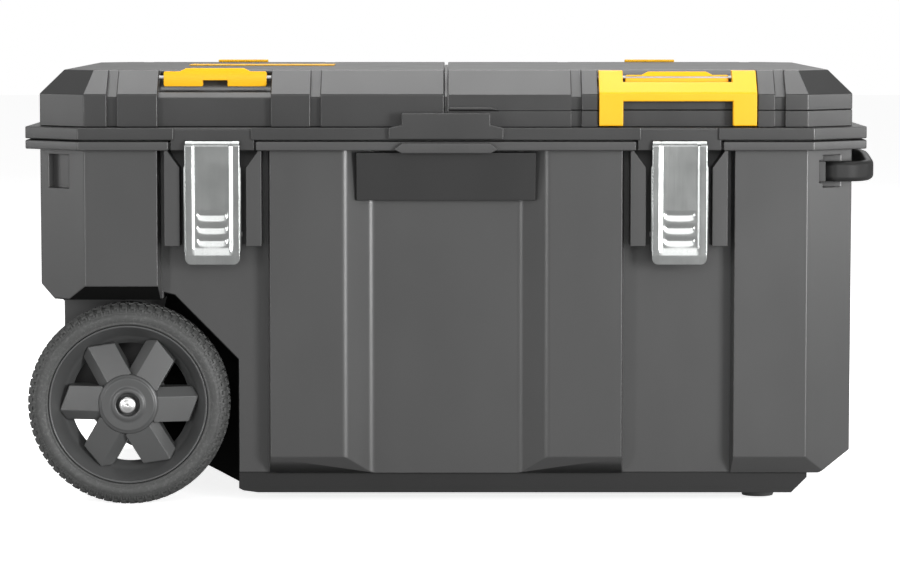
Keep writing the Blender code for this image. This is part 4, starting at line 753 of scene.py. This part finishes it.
def makeWheel(side, name):
    look = wheelLook
    centre, width, at = wheelFrame(side, name)
    outer = radiusOf("wheel_" + name)
    # rim with its lip, the sloping dish, the web round the windows and the barrel behind
    lip, dish, drop, web, barrel = (look[key] for key in ("lip", "dish", "dishDrop", "web", "barrel"))
    rimProfile = [
        (outer, 0.0034), (outer - 0.0004, 0.0024), (lip + 0.0006, 0.0018), (lip - 0.0006, 0.0022),
        (lip - 0.0014, 0.0036), (lip - 0.0020, 0.0052), (0.0715, 0.0125), (dish + 0.0030, drop - 0.0032),
        (dish, drop), (dish - 0.0025, drop + 0.0026), (web + 0.0016, drop + 0.0062),
        (web + 0.0003, drop + 0.0072), (web, drop + 0.0080), (web, drop + 0.0100),
        (web + 0.0006, drop + 0.0108), (barrel, drop + 0.0110), (barrel, width - 0.0030),
        (outer, width - 0.0030),
    ]
    # hub: flat face, ring round the axle, rolled edge, and a flange behind the spokes
    hub, bore, ring, axle, flange = (look[key] for key in ("hub", "bore", "ring", "axle", "backFlange"))
    hubProfile = [
        (axle, 0.0200), (axle, 0.0064), (bore - 0.0006, 0.0062), (bore, 0.0056), (bore + 0.0002, 0.0022),
        (bore + 0.0010, 0.0012), (bore + 0.0026, 0.0008), (ring - 0.0012, 0.0012), (ring - 0.0002, 0.0022),
        (ring + 0.0008, 0.0027), (ring + 0.0024, 0.0026), (hub - 0.0052, 0.0022), (hub - 0.0040, 0.0024),
        (hub - 0.0032, 0.0034), (hub - 0.0026, 0.0036), (hub - 0.0014, 0.0040), (hub - 0.0005, 0.0050),
        (hub, 0.0068), (hub + 0.0010, 0.0200), (flange, 0.0290), (flange, 0.0320), (hub - 0.0100, 0.0340),
        (hub - 0.0110, width - 0.0006), (axle, width - 0.0006),
    ]
    pieces = []
    for profile, steps in ((rimProfile, look["rimSteps"]), (hubProfile, look["hubSteps"])):
        bm = bmesh.new()
        turnedShape(bm, [(r, at(d)) for r, d in profile], centre, steps)
        pieces.append(meshFrom(bm, "turned"))

    # one spoke: a flat paddle with one long edge chamfered and a leaning end
    look = spokeLook
    front, back, root = look["face"], look["back"], look["root"]
    lowEdge, highEdge, outEdge = look["low"], look["high"], look["chamferOut"]
    end = front + look["lean"]
    spokePoints = [  # along the spoke, across it, depth
        (root, lowEdge, front), (look["endLow"], lowEdge, end - 0.0010), (look["endHigh"], highEdge, end),
        (root, highEdge, front), (root - 0.0005, outEdge, front + look["chamferDrop"]),
        (look["endChamfer"], outEdge, end + look["chamferDrop"] - 0.0008),
        (root - 0.0015, lowEdge - 0.0008, back), (look["endLow"] + 0.0015, lowEdge - 0.0008, back),
        (look["endHigh"] + 0.0010, highEdge, back), (look["endChamfer"] + 0.0010, outEdge + 0.0005, back),
        (root - 0.0015, outEdge + 0.0005, back),
    ]
    bm = bmesh.new()
    addHull(bm, [(centre.x + along, at(depth), centre.z + across) for along, across, depth in spokePoints])
    bmesh.ops.dissolve_limit(bm, angle_limit=math.radians(1.0), verts=bm.verts, edges=bm.edges, delimit=set())
    spoke = baked(meshFrom(bm, "spoke"), rounding(look["round"], angle=look["roundAngle"]), evenNormals)
    pieces.append(repeated(spoke, Count=look["count"], Pivot=tuple(centre), Turn=2 * math.pi / look["count"],
                           Finish=wheelPlastic))
    bm = bmesh.new()
    for mesh in pieces:
        bm.from_mesh(mesh)
    mesh = baked(meshFrom(bm, "wheelSpider_" + name), evenNormals)
    addPiece("wheelSpider_" + name, mesh, wheelPlastic, name + "_wheel", ("wheel_" + name,))


def makeAxleCap(side, name):
    # pressed steel cap with a flat middle and a turned-in edge
    nodeName = "push_cap_" + name
    low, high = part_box(nodeName)
    centre = jointAt[name + "_wheel_spin"]
    face = low.y if side < 0 else high.y
    radius, edge = capLook["radius"], capLook["edge"]
    profile = [
        (0.0001, 0.0), (0.0020, 0.0001), (edge, 0.0004), (edge + 0.0007, 0.0009), (edge + 0.0014, 0.0010),
        (radius - 0.0012, 0.0012), (radius - 0.0003, 0.0018), (radius, 0.0028), (radius, 0.0050),
        (radius - 0.0008, 0.0050), (radius - 0.0010, 0.0030), (0.0001, 0.0022),
    ]
    bm = bmesh.new()
    turnedShape(bm, [(r, face - side * d) for r, d in profile], centre, capLook["steps"])
    addPiece("axleCap_" + name, meshFrom(bm, "axleCap_" + name), axleSteel, bodyOfNode(nodeName), (nodeName,))


for side, name in ((-1, "front"), (1, "rear")):
    makeTyre(side, name)
    makeWheel(side, name)
    makeAxleCap(side, name)
print("wheels made")


gripLook = {"height": 0.0204, "thick": 0.0118, "round": 0.0050, "rise": 0.0078, "riseOver": 0.075,
            "bend": 0.024, "straight": 0.012, "bendSteps": 8, "gripSteps": 24, "cornerSteps": 7}


def makePullHandle():
    # one bar swept from arm to arm: rounded section, two bends, and a slight rise along the grip
    look = gripLook
    low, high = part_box("pull_handle")
    middleZ = (low.z + high.z) / 2
    halfHeight, halfThick, corner = look["height"] / 2, look["thick"] / 2, look["round"]
    outX, front, rear = high.x - halfThick, low.y + halfThick, high.y - halfThick
    bend, bendSteps, gripSteps = look["bend"], look["bendSteps"], look["gripSteps"]
    bends = [math.pi / 2 * step / bendSteps for step in range(bendSteps + 1)]
    path = [(low.x, front), (low.x + look["straight"], front)]
    path += [(outX - bend + bend * math.sin(angle), front + bend * (1 - math.cos(angle))) for angle in bends]
    grip = rear - front - 2 * bend
    path += [(outX, front + bend + grip * step / gripSteps) for step in range(1, gripSteps)]
    path += [(outX - bend + bend * math.cos(angle), rear - bend + bend * math.sin(angle)) for angle in bends]
    path += [(low.x + look["straight"], rear), (low.x, rear)]
    path = [Vector((x, y, 0)) for x, y in path]
    section = []
    for quarter, (across, up) in enumerate(((1, 1), (-1, 1), (-1, -1), (1, -1))):
        for step in range(look["cornerSteps"]):
            angle = math.pi / 2 * (quarter + step / (look["cornerSteps"] - 1))
            section.append((across * (halfThick - corner) + corner * math.cos(angle),
                            up * (halfHeight - corner) + corner * math.sin(angle)))
    bm = bmesh.new()
    rings = []
    for k, point in enumerate(path):
        along = (path[min(k + 1, len(path) - 1)] - path[max(k - 1, 0)]).normalized()
        outwards = Vector((along.y, -along.x, 0))
        rise = look["rise"] * smoothStep(min(point.y - front, rear - point.y) / look["riseOver"])
        rings.append([bm.verts.new(point + outwards * across + Vector((0, 0, middleZ + rise + up)))
                      for across, up in section])
    bridge(bm, rings)
    bm.faces.new(rings[0][::-1])
    bm.faces.new(rings[-1])
    bmesh.ops.recalc_face_normals(bm, faces=bm.faces)
    mesh = baked(meshFrom(bm, "pullGrip"), evenNormals)
    addPiece("pullGrip", mesh, gripAndPaintedShadePlastic, bodyOfNode("pull_handle"), ("pull_handle",))


makePullHandle()
print("pull handle swept")


# draw latch plates: pressed sheet with a sunk pan, three finger dents and folded sides

plateLook = {"clear": 0.0003, "half": 0.0273, "pan": 0.0207, "wallSide": 0.0038, "sink": 0.0012,
             "lip": 0.0088, "lipLean": 0.10, "foot": 0.0085, "corner": 0.0065, "sheet": 0.0012, "columns": 60,
             "rows": 132, "band": 0.0053, "topBend": [(0.0005, 0.0010), (0.0024, 0.0030), (0.0043, 0.0050)]}
dentLook = {"count": 3, "half": 0.0150, "height": 0.0108, "sink": 0.0011, "first": 0.0230, "pitch": 0.0127,
            "curve": 3.2, "flat": 0.35, "deepest": 0.62, "ends": 1.6}
flangeLook = {"low": 0.0135, "high": 0.0265, "depth": 0.0145, "proud": 0.0014, "round": 0.0024,
              "inset": 0.0004, "steps": 4}


def plateSink(x, up):
    # how far the sheet lies behind its front, at a place across it and up from its foot
    look, dent = plateLook, dentLook
    fromFoot = up - look["lip"]
    pan = evenStep((look["pan"] - abs(x)) / look["wallSide"]) * evenStep(fromFoot / look["foot"])
    depth = look["sink"] * pan - min(0.0, fromFoot) * look["lipLean"]
    across = abs(x) / dent["half"]
    if across >= 1:
        return depth
    # each dent is scooped below and cut sharper above
    reach = (1 - across ** dent["curve"]) ** 0.5
    halfHeight, deepest = dent["height"] / 2, dent["deepest"]
    for k in range(dent["count"]):
        middle = dent["first"] + k * dent["pitch"]
        below = middle - halfHeight * (dent["flat"] + (1 - dent["flat"]) * reach)
        share = (up - below) / (middle + halfHeight - below)
        if 0 < share < 1:
            shape = evenStep(share / deepest if share < deepest else (1 - share) / (1 - deepest))
            depth += dent["sink"] * shape * min(1.0, reach * dent["ends"])
    return depth


def addFlange(bm, place, middle, front, lowZ, highZ):
    # a side folded back, with the bend's radius in front
    look = flangeLook
    sheet, inset, rounded = plateLook["sheet"], look["inset"], look["round"]
    edge = plateLook["half"] + look["proud"]
    outline = []
    for step in range(look["steps"] + 1):
        angle = math.pi / 2 * step / look["steps"]
        outline.append((edge - rounded + rounded * math.sin(angle), inset + rounded * (1 - math.cos(angle))))
    outline += [(edge, look["depth"]), (edge - sheet, look["depth"]), (edge - sheet, inset + rounded),
                (edge - rounded, inset + sheet)]
    ends = [[bm.verts.new((middle + place * x, front + y, z)) for x, y in outline] for z in (lowZ, highZ)]
    bridge(bm, ends)
    bm.faces.new(ends[0][::-1])
    bm.faces.new(ends[1])


def makePlate(side):
    look = plateLook
    nodeName = "draw_plate_" + side
    low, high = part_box(nodeName)
    middle, front = (low.x + high.x) / 2, low.y + look["clear"]
    bottom, top = low.z, high.z - look["clear"]
    half, corner = look["half"], look["corner"]
    plateHeight = top - look["band"] - bottom
    columns = [-half + 2 * half * k / look["columns"] for k in range(look["columns"] + 1)]
    bm = bmesh.new()
    rows = []
    for k in range(look["rows"] + 1):
        up = plateHeight * k / look["rows"]
        row = []
        for x in columns:
            px, pz = x, up
            dx, dz = abs(x) - (half - corner), corner - up
            if dx > 0 and dz > 0:
                # draws the square corner in to a round one
                pull = max(dx, dz) / math.hypot(dx, dz)
                px, pz = math.copysign(half - corner + dx * pull, x), corner - dz * pull
            row.append(bm.verts.new((middle + px, front + plateSink(x, up), bottom + pz)))
        rows.append(row)
    # the top edge slopes back over the hook and ends clear of the lid's lip
    for back, up in look["topBend"]:
        rows.append([bm.verts.new((middle + x, front + plateSink(x, plateHeight) + back,
                                   bottom + plateHeight + up)) for x in columns])
    bridge(bm, rows, closed=False)
    bmesh.ops.recalc_face_normals(bm, faces=bm.faces)
    if sum(f.normal.y for f in bm.faces) > 0:
        bmesh.ops.reverse_faces(bm, faces=bm.faces)
    sheet = baked(meshFrom(bm, "plateSheet"), ("SOLIDIFY", {"thickness": look["sheet"], "offset": -1.0}))
    bm = bmesh.new()
    bm.from_mesh(sheet)
    for place in (-1, 1):
        addFlange(bm, place, middle, front, bottom + flangeLook["low"], top - flangeLook["high"])
    bmesh.ops.recalc_face_normals(bm, faces=bm.faces)
    mesh = baked(meshFrom(bm, "latchPlate_" + side), evenNormals)
    addPiece("latchPlate_" + side, mesh, latchSteel, bodyOfNode(nodeName), (nodeName,))


for side in ("left", "right"):
    makePlate(side)
print("latch plates made")


# studio

cameraLook = {"location": (0.0, -3.684, 0.5123), "tiltDown": 4.85, "lens": 138.5, "farthest": 100}
lampLooks = {
    # name: place, size, power, what it points at
    "overhead": {"at": (0.0, 0.20, 2.15), "size": (1.9, 1.4), "power": 47, "to": (0.0, 0.20, 0.3)},
    "rightKey": {"at": (1.85, -2.85, 0.50), "size": (0.80, 0.95), "power": 88, "to": (0.0, -0.2, 0.25)},
    "leftFill": {"at": (-1.85, -2.85, 0.50), "size": (0.42, 0.95), "power": 26, "to": (0.0, -0.2, 0.25)},
    "frontFill": {"at": (0.5, -4.2, 1.6), "size": (3.0, 1.4), "power": 40, "to": (0.0, 0.0, 0.25)},
    "rightSide": {"at": (2.9, -0.6, 0.8), "size": (1.2, 1.3), "power": 26, "to": (0.0, -0.1, 0.25)},
    "leftSide": {"at": (-2.9, -0.6, 0.8), "size": (1.2, 1.3), "power": 17, "to": (0.0, -0.1, 0.25)},
    "rearFill": {"at": (0.6, 3.6, 3.0), "size": (2.6, 1.5), "power": 45, "to": (0.0, 0.0, 0.25)},
}

cameraData = bpy.data.cameras.new("camera")
cameraData.lens = cameraLook["lens"]
camera = bpy.data.objects.new("camera", cameraData)
scene.collection.objects.link(camera)
camera.location = cameraLook["location"]
camera.rotation_euler = (math.radians(90 - cameraLook["tiltDown"]), 0, 0)
cameraData.clip_end = cameraLook["farthest"]
scene.camera = camera

for name, lamp in lampLooks.items():
    data = bpy.data.lights.new(name, "AREA")
    data.shape = "RECTANGLE"
    data.size, data.size_y = lamp["size"]
    data.energy = lamp["power"]
    holder = bpy.data.objects.new(name, data)
    scene.collection.objects.link(holder)
    holder.location = lamp["at"]
    aim = Vector(lamp["to"]) - Vector(lamp["at"])
    holder.rotation_euler = aim.to_track_quat("-Z", "Y").to_euler()

# white to the camera, and a paler or darker studio in reflections and in soft light
worldLook = {"soft": 0.20, "around": 0.38, "front": 0.60, "frontFrom": 0.72, "frontFull": 0.97}
world = bpy.data.worlds.new("studio")
scene.world = world
world.use_nodes = True
tree = world.node_tree
background = tree.nodes["Background"]
background.inputs["Color"].default_value = (1, 1, 1, 1)
path = put(tree, "ShaderNodeLightPath")
direction = put(tree, "ShaderNodeTexCoord").outputs["Generated"]
towards = put(tree, "ShaderNodeVectorMath", operation="DOT_PRODUCT")
tree.links.new(direction, towards.inputs[0])
towards.inputs[1].default_value = (0.0, -1.0, 0.0)
mirrored = span(tree, towards.outputs["Value"], worldLook["frontFrom"], worldLook["frontFull"],
                worldLook["around"], worldLook["front"])
seen = put(tree, "ShaderNodeMath", operation="MAXIMUM")
tree.links.new(path.outputs["Is Camera Ray"], seen.inputs[0])
tree.links.new(path.outputs["Is Transmission Ray"], seen.inputs[1])
strength = worldLook["soft"]
for level, ray in ((mirrored, path.outputs["Is Glossy Ray"]), (1.0, seen.outputs[0])):
    pick = put(tree, "ShaderNodeMix", data_type="FLOAT")
    tree.links.new(ray, pick.inputs[0])
    for socket, value in ((pick.inputs[2], strength), (pick.inputs[3], level)):
        if isinstance(value, float):
            socket.default_value = value
        else:
            tree.links.new(value, socket)
    strength = pick.outputs[0]
tree.links.new(strength, background.inputs["Strength"])

floorLook = {"half": 14.0, "drop": 0.0002, "colour": 0.80, "softColour": 0.30, "roughness": 0.9,
             "liftCamera": 0.80, "liftGlossy": 0.28}
bm = bmesh.new()
half = floorLook["half"]
corners = [(-half, -half), (half, -half), (half, half), (-half, half)]
bm.faces.new([bm.verts.new((x, y, -floorLook["drop"])) for x, y in corners])
floor = bpy.data.objects.new("floor", meshFrom(bm, "floor", False))
scene.collection.objects.link(floor)
material, tree, shader = newMaterial("paleFloor")
shader.inputs["Roughness"].default_value = floorLook["roughness"]
shader.inputs["Specular IOR Level"].default_value = 0.0
path = put(tree, "ShaderNodeLightPath")
soft, pale = ((floorLook[key],) * 3 for key in ("softColour", "colour"))
tree.links.new(tint(tree, path.outputs["Is Camera Ray"], soft, pale), shader.inputs["Base Color"])
cameraLift = span(tree, path.outputs["Is Camera Ray"], 0, 1, 0.0, floorLook["liftCamera"])
glossyLift = span(tree, path.outputs["Is Glossy Ray"], 0, 1, 0.0, floorLook["liftGlossy"])
lift = put(tree, "ShaderNodeMath", operation="MAXIMUM")
tree.links.new(cameraLift, lift.inputs[0])
tree.links.new(glossyLift, lift.inputs[1])
tree.links.new(lift.outputs[0], shader.inputs["Emission Strength"])
shader.inputs["Emission Color"].default_value = (1, 1, 1, 1)
floor.data.materials.append(material)
scene.view_settings.view_transform = "Standard"
print("studio made")
